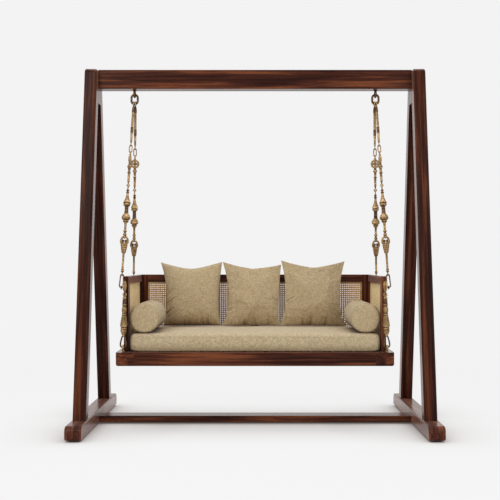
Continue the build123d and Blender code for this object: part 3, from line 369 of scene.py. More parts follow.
def turned(work, run, down, stretches, sides):
    """A turned and carved body of successive stretches, from a height down the run."""
    rings = []
    tones = []
    for stretch in stretches:
        length, start, end, swell, flutes, depth, tone = stretch + UNCARVED[len(stretch) - 3:]
        steps = 8 if swell or flutes else 1
        for step in range(steps + 1):
            share = step / steps
            bulge = math.sin(math.pi * share)
            radius = start + (end - start) * share + swell * bulge
            ring = []
            for k in range(sides):
                angle = 2 * math.pi * k / sides
                cut = 0.0
                if flutes:
                    cut = depth * (0.5 + 0.5 * math.cos(flutes * angle)) * bulge ** 0.5
                reach = max(radius - cut, 0.3)
                ring.append(work.verts.new(run.at(reach * math.cos(angle),
                                                  reach * math.sin(angle),
                                                  down + length * share)))
            rings.append(ring)
            tones.append(tone)
        down += length
    for low, high, tone in zip(rings, rings[1:], tones[1:]):
        skin(work, (low, high), caps=False, tone=tone)
    work.faces.new(rings[0]).material_index = tones[0]
    work.faces.new(rings[-1]).material_index = tones[-1]


def smooth_points(points, closed, steps=6):
    """Points of a smooth curve through a few given ones."""
    count = len(points)
    spans = count if closed else count - 1
    made = []
    for i in range(spans):
        a, b, c, d = (points[(i + k) % count] if closed else
                      points[min(max(i + k, 0), count - 1)] for k in (-1, 0, 1, 2))
        for step in range(steps):
            t = step / steps
            made.append(0.5 * ((2 * b) + (c - a) * t + (2 * a - 5 * b + 4 * c - d) * t * t
                               + (3 * b - a - 3 * c + d) * t ** 3))
    if not closed:
        made.append(points[-1])
    return made


def wire(work, points, radius, closed=True, sides=10, tone=0):
    """Round wire along points, its radius in millimetres."""
    count = len(points)
    reach = radius * MM
    rings = []
    side = None
    for i, point in enumerate(points):
        before = points[i - 1] if closed or i else point
        after = points[(i + 1) % count] if closed or i < count - 1 else point
        ahead = (after - before).normalized()
        if side is None:
            side = ahead.orthogonal().normalized()
        side = (side - ahead * side.dot(ahead)).normalized()
        other = ahead.cross(side)
        rings.append([work.verts.new(point + (side * math.cos(a) + other * math.sin(a)) * reach)
                      for a in (2 * math.pi * k / sides for k in range(sides))])
    if closed:
        first, last = rings[0], rings[-1]
        turn = min(range(sides), key=lambda k: (last[0].co - first[k].co).length)
        rings.append(first[turn:] + first[:turn])
    skin(work, rings, caps=not closed, tone=tone)


def circle_points(run, centre, across, radius, count):
    """Points of a circle in the plane of the run and a direction across it."""
    places = []
    for k in range(count):
        angle = 2 * math.pi * k / count
        places.append(run.at(*(centre[i] + radius * (math.cos(angle) * across[i]
                                                     + math.sin(angle) * DOWN[i])
                               for i in range(3))))
    return places


def ball(work, place, radius=1.0, tone=0, stretch=None):
    """A bead, stretched along up to three directions."""
    shape = Matrix(stretch).transposed() if stretch else Matrix.Identity(3)
    made = bmesh.ops.create_icosphere(work, subdivisions=2, radius=radius * MM)
    for vertex in made["verts"]:
        vertex.co = shape @ vertex.co + place
    for face in {f for v in made["verts"] for f in v.link_faces}:
        face.material_index = tone


# ------------------------------------------------------------------ chains
# Places of the chain's parts, as in the source: the ring on its eye bolt, how far the front
# and rear loops stand apart on it, the length of a run above the seat's leaves, where the runs
# end (x, y), and the studs of the pendants (x, y, how far in from the run's foot the leaf is).
EYE_X, LOOP_Z, LOOP_STEP = 0.731, 1.9305, 0.0055
UPPER = 1.150
front_hang, rear_hang = (0.764, -0.322), (0.771, 0.247)
front_stud, rear_stud = (0.753, -0.326, 0.020), (0.778, 0.325, 0.0)
STUD_Z = 0.4825
EYE_MEAN, EYE_WIRE = 15, 6     # a small eye's mean diameter and its wire's, in millimetres


def pear_foot(side_sign, hang):
    drop = math.sqrt(UPPER ** 2 - (hang[0] - EYE_X) ** 2 - hang[1] ** 2)
    return Vector((side_sign * hang[0], hang[1], LOOP_Z - drop))


def eye(work, run, down, face_on=False, mean_d=EYE_MEAN, wire_d=EYE_WIRE):
    """A small ring on the run's line, seen face on or edge on from the front."""
    across = ACROSS if face_on else BACK
    wire(work, circle_points(run, (0, 0, down), across, mean_d / 2, 24), wire_d / 2)


def hanger_rod(work, run):
    """Loop on the top ring, ribbed dark collars, a long tapering shaft and a small eye."""
    eye(work, run, 0, mean_d=25, wire_d=8)
    turned(work, run, 12, (
        (6, 3.6, 5.4), (3, 5.8, 6.2), dark(7, 6.2, 6.6, 0.8), dark(7, 6.8, 7.4, 0.9),
        dark(7, 7.6, 7.8, 1.0), dark(7, 7.8, 7.8, 1.0), dark(7, 7.8, 7.4, 0.9), (4, 7.0, 7.4),
        (90, 7.4, 8.0), (4, 8.0, 8.4), *[dark(7.6, 8.0, 8.0, 0.9)] * 4,
        dark(7.6, 8.0, 7.8, 0.9), (5, 7.6, 7.4), (44, 7.4, 6.0), (8, 5.6, 5.6, 1.2),
        (6, 5.4, 3.6), (7.5, 3.2, 2.5)), sides=28)
    eye(work, run, 270.05)


def wheel(work, run, down):
    """Openwork rosette: beaded rim, four lobed petals and a hub, open along the diagonals."""
    across = ACROSS if run.face_on else BACK
    flat = run.across if run.face_on else run.back
    normal = run.back if run.face_on else run.across
    wire(work, circle_points(run, (0, 0, down), across, 22.4, 40), 4.9, sides=14)
    for side in (-1, 1):
        centre = (0, side * 4.6, down) if run.face_on else (side * 4.6, 0, down)
        wire(work, circle_points(run, centre, across, 23.5, 40), 1.6, sides=8)
    middle = run.at(0, 0, down)
    beads = 12
    for k in range(beads):
        angle = 2 * math.pi * (k + 0.5) / beads
        out = flat * math.cos(angle) + run.up * math.sin(angle)
        ball(work, middle + out * 24.8 * MM, 4.2)
    for k in range(4):
        angle = QUARTER * k
        out = flat * math.cos(angle) + run.up * math.sin(angle)
        side = normal.cross(out)
        ball(work, middle + out * 13.5 * MM, stretch=(out * 10.8, side * 8.8, normal * 5.8))
        ball(work, middle + out * 12.0 * MM, tone=1,
             stretch=(out * 3.2, side * 3.2, normal * 6.0))
    ball(work, middle, stretch=(flat * 5.2, run.up * 5.2, normal * 6.8))


def rosette_rod(work, run):
    """Eye, crown, openwork wheel, flared capital, collared rod and a small eye below."""
    top = 318.45
    centre = top + 46
    eye(work, run, top)
    turned(work, run, top + 7, (
        (3, 2.6, 4.6), (4, 5.4, 5.4, 1.2), (3, 4.6, 5.2), (5, 6.4, 6.4, 1.2)), sides=24)
    wheel(work, run, centre)
    turned(work, run, centre + 25, (
        (5, 5.4, 6.6), dark(4, 7.4, 7.4, 1.0), (10, 7.4, 13.0, 0.8, 10, 1.0),
        (4, 13.2, 13.2, 0.6), (9, 12.2, 8.0, -1.2, 10, 1.0), dark(4, 8.4, 8.4, 0.8),
        (20, 7.0, 7.4), dark(4, 9.6, 9.6, 0.9), (3, 8.4, 8.4, 0.5), (46, 7.4, 6.6),
        (5, 7.0, 7.0, 1.0), (9, 6.2, 4.4), (7.5, 4.0, 2.8)), sides=40)
    eye(work, run, 527.4, face_on=True)


def baluster(work, run):
    """Double ring, flared cone and disc, ringed neck, onion bulb, taper and knobs."""
    top = 536.1
    eye(work, run, top)
    turned(work, run, top + 7, (
        (13, 2.8, 5.4), dark(9, 6.6, 6.6, 2.2), (4, 5.8, 5.8), dark(10, 6.8, 6.8, 2.6),
        (6, 6.6, 7.0), (50, 7.0, 21.2, -2.6), (5, 21.2, 21.2, 1.0), dark(3, 19.0, 16.0),
        (12, 18.4, 18.4, 2.2), (4, 15.5, 11.5), dark(6, 11.0, 11.0, 1.2),
        *(dark(8, 10.2, 10.2, 0.4), dark(5, 10.8, 10.8, 1.1)) * 2,
        dark(8, 10.4, 11.8, 0.4), dark(7, 12.0, 13.0), (22, 13.0, 25.2, 2.0),
        (6, 25.2, 25.0, 1.2), (10, 24.8, 15.5, 2.6), dark(4, 14.0, 14.0), (7, 15.2, 15.2, 1.8),
        dark(3, 11.5, 11.5), (10, 11.4, 7.4, -0.6, 8, 0.8), (35, 6.8, 6.4), (3, 7.2, 7.2),
        (12, 7.0, 7.0, 4.2), dark(6, 6.4, 6.4), (4, 7.6, 7.6, 0.8),
        (12, 8.2, 8.2, 3.4, 8, 1.2), (1.5, 6.0, 3.0)), sides=40)
    eye(work, run, 848.1)


def stirrup_rod(work, run):
    """Pierced stirrup on a ribbed conical cup, a plain rod, a knuckle and a small eye."""
    top = 848.3
    outline = ((0, 0), (10.5, 1.5), (17.8, 14), (20.2, 28), (17.0, 38), (7, 40.5), (-7, 40.5),
               (-17.0, 38), (-20.2, 28), (-17.8, 14), (-10.5, 1.5))
    points = smooth_points([run.at(x, 0, top + z) for x, z in outline], True, 4)
    wire(work, points, 6.0, sides=12)
    for side in (-1, 1):
        scroll = smooth_points([run.at(side * x, 0, top + z) for x, z in
                                ((3, 39), (12, 33), (13.5, 24), (7.5, 19.5), (4.5, 25),
                                 (8.0, 29))], False, 5)
        wire(work, scroll, 4.6, closed=False, sides=8, tone=1)
        rib = smooth_points([run.at(x, side * 5.2, top + z) for x, z in outline], True, 4)
        wire(work, rib, 1.5, sides=6, tone=1)
    turned(work, run, top + 38, (
        (8.5, 14.0, 19.0), (7, 19.2, 19.2, 0.9), dark(3, 17.0, 17.0),
        (10, 18.6, 17.0, 0.6, 12, 1.2), dark(2.5, 15.6, 15.6), (10, 17.0, 15.0, 0.6, 12, 1.2),
        dark(2.5, 13.8, 13.8), (9, 15.0, 12.6, 0.6, 12, 1.0), dark(2.5, 11.6, 11.6),
        (4, 12.4, 11.0, 0.6), (2.5, 9.8, 7.4), (94, 6.2, 6.0), (4, 7.8, 7.8, 0.7),
        dark(3, 7.2, 7.2), (7, 7.8, 7.8, 0.9), dark(3, 7.0, 7.0), (4, 6.4, 4.0),
        (3.5, 3.6, 2.6)), sides=36)
    eye(work, run, 1073.3)


for side, sign in SIDES:
    pair = (Run((sign * (EYE_X + LOOP_STEP), 0, LOOP_Z), pear_foot(sign, front_hang)),
            Run((sign * (EYE_X - LOOP_STEP), 0, LOOP_Z), pear_foot(sign, rear_hang), True))
    for kind, maker in (("hanger_rods", hanger_rod), ("balusters", baluster),
                        ("stirrup_rods", stirrup_rod), ("rosette_rods", rosette_rod)):
        work = bmesh.new()
        for run in pair:
            maker(work, run)
        new_piece(f"{side}_{kind}_cast", work, (old_brass, dark_brass), f"{side}_hanger",
                  (f"{side}_{kind}",))


def leaf_hook(work, foot, sign, out_sign, inset):
    """Cast leaf with a midrib in front of a small eye, and a little eye at its tip."""
    hook_lift = (17 / 2 - 3 - 0.95 - 3.5) * MM     # from the pear link's foot down to its eye
    eye_place = foot - Vector((0, 0, hook_lift))
    upright = Run(eye_place, eye_place - Vector((0, 0, 1)))
    wire(work, circle_points(upright, (0, 0, 0), BACK, 8.5, 24), 3.0, tone=1)
    leaf_x, leaf_y = -sign * inset / MM, out_sign * 10.5
    top, tip = -38 - hook_lift / MM, 31 - hook_lift / MM
    rows, columns = 22, 10
    sheets = []
    for face in (1, -1):
        sheet = []
        for row in range(rows + 1):
            share = row / rows
            half = 12.4 * math.sin(math.pi * min(share * 1.02, 1.0) ** 0.72) ** 0.62
            line = []
            for column in range(columns + 1):
                place = column / columns * 2 - 1
                ridge = 1.0 - abs(place) ** 1.4
                vein = 0.35 * math.cos(math.pi * 14 * (share - 0.10 * abs(place)))
                lift = face * (1.2 + 2.2 * ridge + vein * (1 - abs(place)) * ridge)
                line.append(work.verts.new(upright.at(
                    leaf_x + half * place, leaf_y + lift,
                    top + (tip - top) * share + 1.5 * abs(place))))
            sheet.append(line)
        sheets.append(sheet)
    for sheet in sheets:
        skin(work, sheet, closed_ring=False, caps=False)
    front, rear = sheets
    edge_front = ([line[0] for line in front] + [line[-1] for line in reversed(front)])
    edge_rear = ([line[0] for line in rear] + [line[-1] for line in reversed(rear)])
    skin(work, (edge_front, edge_rear), caps=False)
    rib = [upright.at(leaf_x, leaf_y - 3.2, top + (tip - top) * t) for t in
           (0.08, 0.25, 0.5, 0.75, 0.97)]
    wire(work, smooth_points(rib, False), 1.3, closed=False, sides=6, tone=1)
    low_y = leaf_y - out_sign * (2.5 + 3 + 0.4)
    wire(work, circle_points(upright, (leaf_x, low_y, tip), BACK, 6.5, 20), 2.5, tone=1)
    leaf_back = leaf_y - out_sign * 2.5
    if inset:
        bridge = smooth_points([upright.at(leaf_x * t, leaf_back * min(t * 1.6, 1.0), 0)
                                for t in (0.0, 0.35, 0.7, 1.0)], False)
    else:
        bridge = [upright.at(0, leaf_back * t, 0) for t in (0.55, 1.0)]
    wire(work, bridge, 3.4, closed=False, sides=8, tone=1)
    return upright.at(leaf_x, low_y, tip)


def pendant(work, top, stud):
    """Ring and fork, ribbed neck, urn, skirt of U-shaped petals, collars and a drop link."""
    run = Run(top, stud)
    length = (Vector(top) - Vector(stud)).length / MM
    nest = 6.5 - 2.5 - 0.3 - 3
    ring_foot = nest + 18
    body_foot = length - 66
    span = body_foot - ring_foot
    wire(work, circle_points(run, (0, 0, nest + 9), ACROSS, 9.0, 26), 3.0)
    for side in (-1, 1):
        arm = [run.at(side * x, 0, ring_foot + z) for x, z in ((8.6, -7), (6.4, 0), (2.5, 6))]
        wire(work, smooth_points(arm, False), 2.6, closed=False, sides=8)
    unit = span / 100
    turned(work, run, ring_foot - 1, [(share * unit, *rest) for share, *rest in (
        (3, 3.6, 7.0), (4, 9.4, 9.4, 1.6), dark(14, 9.6, 11.0, 0.6, 8, 2.6),
        (3, 11.6, 11.6, 1.2), dark(2, 10.0, 10.0), (16, 9.6, 11.6, 3.6, 8, 1.2),
        dark(3, 10.6, 10.6), (3, 12.4, 12.4, 1.5), dark(2, 11.2, 11.2), (3, 12.8, 12.8, 1.0),
        (22, 11.6, 18.2, -1.0, 8, 2.4), (3, 18.2, 18.2, 1.4), dark(2, 15.4, 15.4),
        (4, 17.2, 17.2, 0.9), dark(2, 15.8, 15.8), (4, 17.0, 17.0, 0.9), (9, 15.0, 8.0, 1.4),
        (1, 8.0, 6.0))], sides=48)
    skirt = ring_foot + unit * 53
    neck, rim = 12.2, 18.6
    petals = 8
    for k in range(petals):
        angle = 2 * math.pi * (k + 0.5) / petals
        loop = []
        for share in (0.0, 0.35, 0.7, 0.93, 1.0):
            aside = 0.24 * (1 - max(share - 0.7, 0) / 0.3)
            radius = neck + (rim - neck) * share + 1.0
            loop.append((angle - aside, radius, share))
        loop += [(2 * angle - a, r, s) for a, r, s in reversed(loop[:-1])]
        points = [run.at(r * math.cos(a), r * math.sin(a), skirt + 21 * unit * s)
                  for a, r, s in loop]
        wire(work, smooth_points(points, False, 3), 1.35, closed=False, sides=6)
    outline = ((0, 0), (6, 3), (12.5, 26), (15.8, 46), (14.0, 58), (7, 65), (-7, 65),
               (-14.0, 58), (-15.8, 46), (-12.5, 26), (-6, 3))
    drop = smooth_points([run.at(x, 0, body_foot + z) for x, z in outline], True, 4)
    wire(work, drop, 4.5, sides=12, tone=1)


work_hooks, work_pendants = bmesh.new(), bmesh.new()
for side, sign in SIDES:
    for hang, stud, out_sign in ((front_hang, front_stud, -1), (rear_hang, rear_stud, 1)):
        tip_eye = leaf_hook(work_hooks, pear_foot(sign, hang), sign, out_sign, stud[2])
        stud_place = Vector((sign * stud[0], stud[1], STUD_Z + 0.0012))
        pendant(work_pendants, tip_eye, stud_place)
new_piece("leaf_hooks_cast", work_hooks, (old_brass, dark_brass), "seat",
          ("leaf_hooks",))
new_piece("pendants_cast", work_pendants, (old_brass, dark_brass), "seat",
          ("pendants",))


# ------------------------------------------------------------------ woven cane
PITCH, PAIR_HALF, STRAND, SLANT_STRAND, WEAVE_RISE = 0.0133, 0.0020, 0.0040, 0.0012, 0.0009
LIP = 0.004     # how far the woven sheet goes into the grooves round it


def strip(work, start, end, width_way, out, width, thick, waves=0, rise=0.0, phase=0, tone=0):
    """A flat strip of cane between two places, weaving in and out of its sheet."""
    count = max(waves, 1)
    rings = []
    for i in range(count + 1):
        middle = start.lerp(end, i / count)
        if waves:
            middle = middle + out * (rise if (i + phase) % 2 else -rise)
        across, deep = width_way * width / 2, out * thick / 2
        rings.append([work.verts.new(middle + a * across + b * deep)
                      for a, b in ((-1, -0.4), (0, -1), (1, -0.4), (0, 1))])
    skin(work, rings, tone=tone)


def weave(work, origin, along, up, out, width, height, tone=0):
    """Six-way cane: pairs both ways and two diagonals, which leave eight-sided holes."""
    columns, rows = round(width / PITCH), round(height / PITCH)
    step_x, step_z = width / columns, height / rows

    def place(x, z, layer=0.0):
        return origin + along * x + up * z + out * layer
    for i in range(columns + 1):
        for offset in (-PAIR_HALF, PAIR_HALF):
            x = min(max(i * step_x + offset, 0), width)
            strip(work, place(x, 0), place(x, height), along, out, STRAND, 0.0009, tone=tone)
    for j in range(rows + 1):
        for k, offset in enumerate((-PAIR_HALF, PAIR_HALF)):
            z = min(max(j * step_z + offset, 0), height)
            strip(work, place(0, z), place(width, z), up, out, STRAND, 0.0008,
                  waves=columns, rise=WEAVE_RISE, phase=j + k)
    slant = math.hypot(step_x, step_z)
    for lean in (1, -1):
        way = (along * (-lean * step_z) + up * step_x) / slant
        for n in range(-rows, columns + rows):
            low_x = (n + 0.5) * step_x
            ends = []
            for z in (0, height):
                x = low_x + lean * z * step_x / step_z
                clipped = min(max(x, 0), width)
                at_z = z + (clipped - x) * lean * step_z / step_x
                ends.append((clipped, at_z))
            (x0, z0), (x1, z1) = ends
            if min(z0, z1) < -1e-6 or max(z0, z1) > height + 1e-6 or abs(x0 - x1) < 0.004:
                continue
            strip(work, place(x0, z0, lean * 0.0011), place(x1, z1, lean * 0.0011), way, out,
                  SLANT_STRAND, 0.0007, tone=tone)


work = bmesh.new()
for low_x, high_x in ((-0.685, -0.020), (0.020, 0.685)):
    weave(work, Vector((low_x - LIP, 0.3135, 0.504 - LIP)), Vector((1, 0, 0)),
          Vector((0, 0, 1)), Vector((0, -1, 0)), high_x - low_x + 2 * LIP, 0.339 + 2 * LIP)
new_piece("back_cane_weave", work, (back_straw,), "seat", ("back_cane",), smooth=False)
work = bmesh.new()
for side, sign in SIDES:
    weave(work, Vector((sign * 0.7395, -0.235 - LIP, 0.502 - LIP)), Vector((0, 1, 0)),
          Vector((0, 0, 1)), Vector((-sign, 0, 0)), 0.535 + 2 * LIP, 0.343 + 2 * LIP, tone=1)
new_piece("arm_cane_weave", work, (straw, crossing_straw), "seat", ("arm_canes",),
          smooth=False)


# ------------------------------------------------------------------ cushions
CLOTH_PRESSURE, CLOTH_FRAMES, CLOTH_TENSION, CLOTH_CAP = 2.0, 14, 18.0, 0.012


def simulate(piece, held):
    """Inflates a closed mesh as cloth, its seam held, and moves it by no more than a cap."""
    piece.vertex_groups.new(name="seam").add(held, 1.0, "REPLACE")
    scene = bpy.context.scene
    scene.frame_set(1)
    modifier = piece.modifiers.new("cloth", "CLOTH")
    settings = modifier.settings
    settings.quality = 6
    settings.mass = 0.3
    settings.tension_stiffness = settings.compression_stiffness = CLOTH_TENSION
    settings.shear_stiffness = CLOTH_TENSION / 2
    settings.bending_stiffness = 0.3
    settings.vertex_group_mass = "seam"
    settings.use_pressure = True
    settings.uniform_pressure_force = CLOTH_PRESSURE
    settings.effector_weights.gravity = 0.0
    modifier.collision_settings.use_collision = False
    modifier.collision_settings.use_self_collision = False
    modifier.point_cache.frame_start = 1
    modifier.point_cache.frame_end = CLOTH_FRAMES
    for step in range(1, CLOTH_FRAMES + 1):
        scene.frame_set(step)
    shape = piece.evaluated_get(bpy.context.evaluated_depsgraph_get())
    places = [vertex.co.copy() for vertex in shape.data.vertices]
    piece.modifiers.remove(modifier)
    piece.vertex_groups.clear()
    for vertex, place in zip(piece.data.vertices, places):
        moved = place - vertex.co
        if moved.length > CLOTH_CAP:
            moved *= CLOTH_CAP / moved.length
        vertex.co += moved
    scene.frame_set(1)


def rounded(piece):
    """Adds one smooth subdivision to a piece, as a modifier."""
    rounder = piece.modifiers.new("rounder", "SUBSURF")
    rounder.levels = rounder.render_levels = 1
    return rounder


def refine(piece):
    """Subdivides a piece's mesh once, smoothly; its first points keep their order."""
    rounder = rounded(piece)
    shape = piece.evaluated_get(bpy.context.evaluated_depsgraph_get())
    finer = bpy.data.meshes.new_from_object(shape)
    piece.modifiers.remove(rounder)
    piece.data = finer


def pucker(along, seed):
    """Short uneven folds along a sewn edge, from -1 to 1."""
    wave = noise.noise(Vector((along * 9.0, seed, 0.3)))
    fine = noise.noise(Vector((along * 21.0, seed, 5.1)))
    return wave * 0.75 + fine * 0.5


def crease(x, z, folds):
    """Depth of the pinch folds at a place: grooves with raised lips that fade inwards."""
    depth = 0.0
    for start_x, start_z, end_x, end_z, width, deep in folds:
        start = Vector((start_x, start_z))
        along = Vector((end_x, end_z)) - start
        share = (Vector((x, z)) - start).dot(along) / along.length_squared
        if not -0.2 < share < 1:
            continue
        across = (Vector((x, z)) - start - along * share).length / width
        fade = min(1.0, (share + 0.2) * 5) * (1 - max(share, 0)) ** 0.8
        depth += deep * fade * (math.exp(-across ** 2) - 0.4 * math.exp(-(across - 2.0) ** 2))
    return depth


PILLOW_COUNT, PILLOW_THICK = 76, 0.118
FOLD_DEPTH, ROLL_DEPTH, EDGE_WAVER = 0.009, 0.006, 0.0018


def pillow_mesh(corners, pulls, seed):
    """Two sheets sewn round a four-sided outline whose sides pull in between its corners."""
    work = bmesh.new()
    count = PILLOW_COUNT
    layers = []
    rim = {}
    left_top, right_top, left_low, right_low = corners
    left_pull, right_pull, sag = pulls

    def between_corners(right, up):
        return ((left_top[axis] * (1 - right) + right_top[axis] * right) * up
                + (left_low[axis] * (1 - right) + right_low[axis] * right) * (1 - up)
                for axis in (0, 1))

    for face in (1, -1):
        grid = []
        for row in range(count + 1):
            line = []
            for column in range(count + 1):
                at_side, at_end = column in (0, count), row in (0, count)
                edge = at_side or at_end
                if (row, column) in rim:
                    line.append(rim[row, column])
                    continue
                u = math.sin((column / count * 2 - 1) * QUARTER)
                v = math.sin((row / count * 2 - 1) * QUARTER)
                right, up = (u + 1) / 2, (v + 1) / 2
                x, z = between_corners(right, up)
                hold = 1 - abs(v) ** (1.7 if v > 0 else 3.2)
                x += (left_pull * (1 - right) - right_pull * right) * hold
                z -= sag * (1 - abs(u) ** 1.45) * up ** 1.4
                near_side = math.exp(-(1 - abs(u)) * 5.5) * (1 - v ** 4)
                near_end = math.exp(-(1 - abs(v)) * 5.5) * (1 - u ** 4)
                side_fold = pucker(v, seed + (3.0 if u > 0 else 8.0)) * near_side
                end_fold = pucker(u, seed + (13.0 if v > 0 else 18.0)) * near_end
                low = max(-v, 0.0)
                fold = (side_fold * 0.6 + end_fold * (0.45 + 0.9 * low)) * FOLD_DEPTH
                swell = ((1 - u * u) ** 0.56 * (1 - v * v) ** 0.50
                         * (1 - 0.13 * v) * PILLOW_THICK / 2)
                roll = noise.noise(Vector((u * 1.6 + seed, v * 1.6, face * 0.7))) * ROLL_DEPTH
                flat = (1 - u ** 4) * (1 - v ** 4)
                lift = 0.0 if edge else face * (swell + roll * flat + fold * flat ** 0.3)
                if edge:
                    shift = pucker(v if at_side else u, seed + 31.0) * EDGE_WAVER
                    x += shift if at_side else 0.0
                    z += shift if at_end else 0.0
                vertex = work.verts.new((x, lift, z))
                if edge:
                    rim[row, column] = vertex
                line.append(vertex)
            grid.append(line)
        layers.append(grid)
    for grid in layers:
        skin(work, grid, closed_ring=False, caps=False)
    # Which way the cloth then swells depends on this turn of the faces as well as new_piece's.
    bmesh.ops.recalc_face_normals(work, faces=work.faces)
    return work, rim


def rim_walk(rows, columns):
    """(row, column) places round the sewn edge, in order."""
    return ([(0, c) for c in range(columns)] + [(r, columns) for r in range(rows)]
            + [(rows, c) for c in range(columns, 0, -1)] + [(r, 0) for r in range(rows, 0, -1)])


def soft_limit(value, limit, reach=0.006):
    """Value, kept below a limit and eased into it."""
    over = value - (limit - reach)
    return value if over <= 0 else limit - reach * math.exp(-over / reach)


BACK_FACE = 0.3
PAD_HALF_X, PAD_HALF_Y, PAD_MIDDLE_Y = 0.7190, 0.303, -0.006
PAD_LOW, PAD_TOP, PAD_CROWN = 0.4578, 0.5604, 0.009


def pad_rise(x, y, face=1):
    """How far the mattress's crown and dents lift its top over its edge at a place."""
    if face < 0:
        return 0.0
    across = min(abs(x) / PAD_HALF_X, 1.0)
    back = min(abs(y - PAD_MIDDLE_Y) / PAD_HALF_Y, 1.0)
    dent = noise.noise(Vector((x * 5, (y - PAD_MIDDLE_Y) * 5, 3.0))) * 0.0030
    return (PAD_CROWN * (1 - across ** 4) * (1 - back ** 4)
            + dent * (1 - across ** 6) * (1 - back ** 6))


CUSHION_LEAN = math.radians(12)
CREASE_DEPTH = 1.4
SEAM_Y, SEAM_Z = 0.192, 0.571
SEAM_GAP = 0.0030       # between a cushion and the mattress, where it stands on it
# Name, corners (left top, right top, left low, right low), pulls in at the left, right and
# top, folds (where each starts and ends, width, depth), seed and how far forward it stands.
cushion_plan = (
    ("left_cushion", ((-0.598, 0.404), (-0.211, 0.408), (-0.578, 0.0), (-0.213, 0.0)),
     (0.030, 0.0165, 0.043),
     ((-0.293, 0.0, -0.297, 0.075, 0.0055, 0.009), (-0.327, 0.0, -0.333, 0.080, 0.006, 0.007),
      (-0.369, 0.0, -0.366, 0.035, 0.006, 0.005), (-0.415, 0.0, -0.407, 0.040, 0.006, 0.008),
      (-0.447, 0.0, -0.444, 0.055, 0.007, 0.006), (-0.560, 0.200, -0.490, 0.230, 0.007, 0.007),
      (-0.560, 0.137, -0.484, 0.178, 0.007, 0.009), (-0.560, 0.070, -0.505, 0.112, 0.011, 0.011)),
     1.3, 0.000),
    ("centre_cushion", ((-0.2047, 0.408), (0.165, 0.389), (-0.208, 0.0), (0.151, 0.0)),
     (0.041, 0.009, 0.036),
     ((-0.172, 0.090, -0.110, 0.118, 0.012, 0.006), (0.004, 0.0, -0.026, 0.105, 0.010, 0.006),
      (0.081, 0.0, 0.085, 0.055, 0.008, 0.007), (-0.066, 0.0, -0.063, 0.038, 0.007, 0.008),
      (0.022, 0.366, 0.020, 0.335, 0.007, 0.006), (0.145, 0.150, 0.090, 0.185, 0.010, 0.006)),
     4.1, -0.009),
    ("right_cushion", ((0.1677, 0.4166), (0.569, 0.4114), (0.149, 0.0), (0.571, 0.0)),
     (0.038, 0.037, 0.044),
     ((0.342, 0.0, 0.361, 0.078, 0.006, 0.009), (0.439, 0.0, 0.444, 0.055, 0.006, 0.009),
      (0.298, 0.0, 0.302, 0.040, 0.006, 0.005), (0.540, 0.058, 0.495, 0.105, 0.010, 0.008),
      (0.372, 0.374, 0.370, 0.340, 0.007, 0.007), (0.200, 0.150, 0.255, 0.182, 0.010, 0.006)),
     7.7, -0.018),
)
for name, corners, pulls, folds, seed, forward in cushion_plan:
    work, rim = pillow_mesh(corners, pulls, seed)
    work.verts.index_update()
    edge_order = [rim[place].index for place in rim_walk(PILLOW_COUNT, PILLOW_COUNT)]
    cushion = new_piece(name + "_padded", work, (pillow_cloth,), name, (name,))
    simulate(cushion, edge_order)
    refine(cushion)
    lean = Matrix.Rotation(-CUSHION_LEAN, 4, "X")
    foot = Vector((0, SEAM_Y + forward, SEAM_Z))
    for vertex in cushion.data.vertices:
        flat = vertex.co
        if abs(flat.y) > 0.0005:
            deep = (CREASE_DEPTH * crease(flat.x, flat.z, folds)
                    * min(abs(flat.y) / 0.012, 1.0))
            flat.y -= math.copysign(deep, flat.y)
        place = lean @ flat + foot
        place.y = soft_limit(place.y, BACK_FACE - 0.001, 0.010)
        rest = PAD_TOP + pad_rise(place.x, place.y) + SEAM_GAP
        place.z = -soft_limit(-place.z, -rest, 0.004)
        vertex.co = place
    seam = bmesh.new()
    wire(seam, [cushion.data.vertices[i].co.copy() for i in edge_order], 1.3, sides=6)
    new_piece(name + "_seam", seam, (piping_cloth,), name)


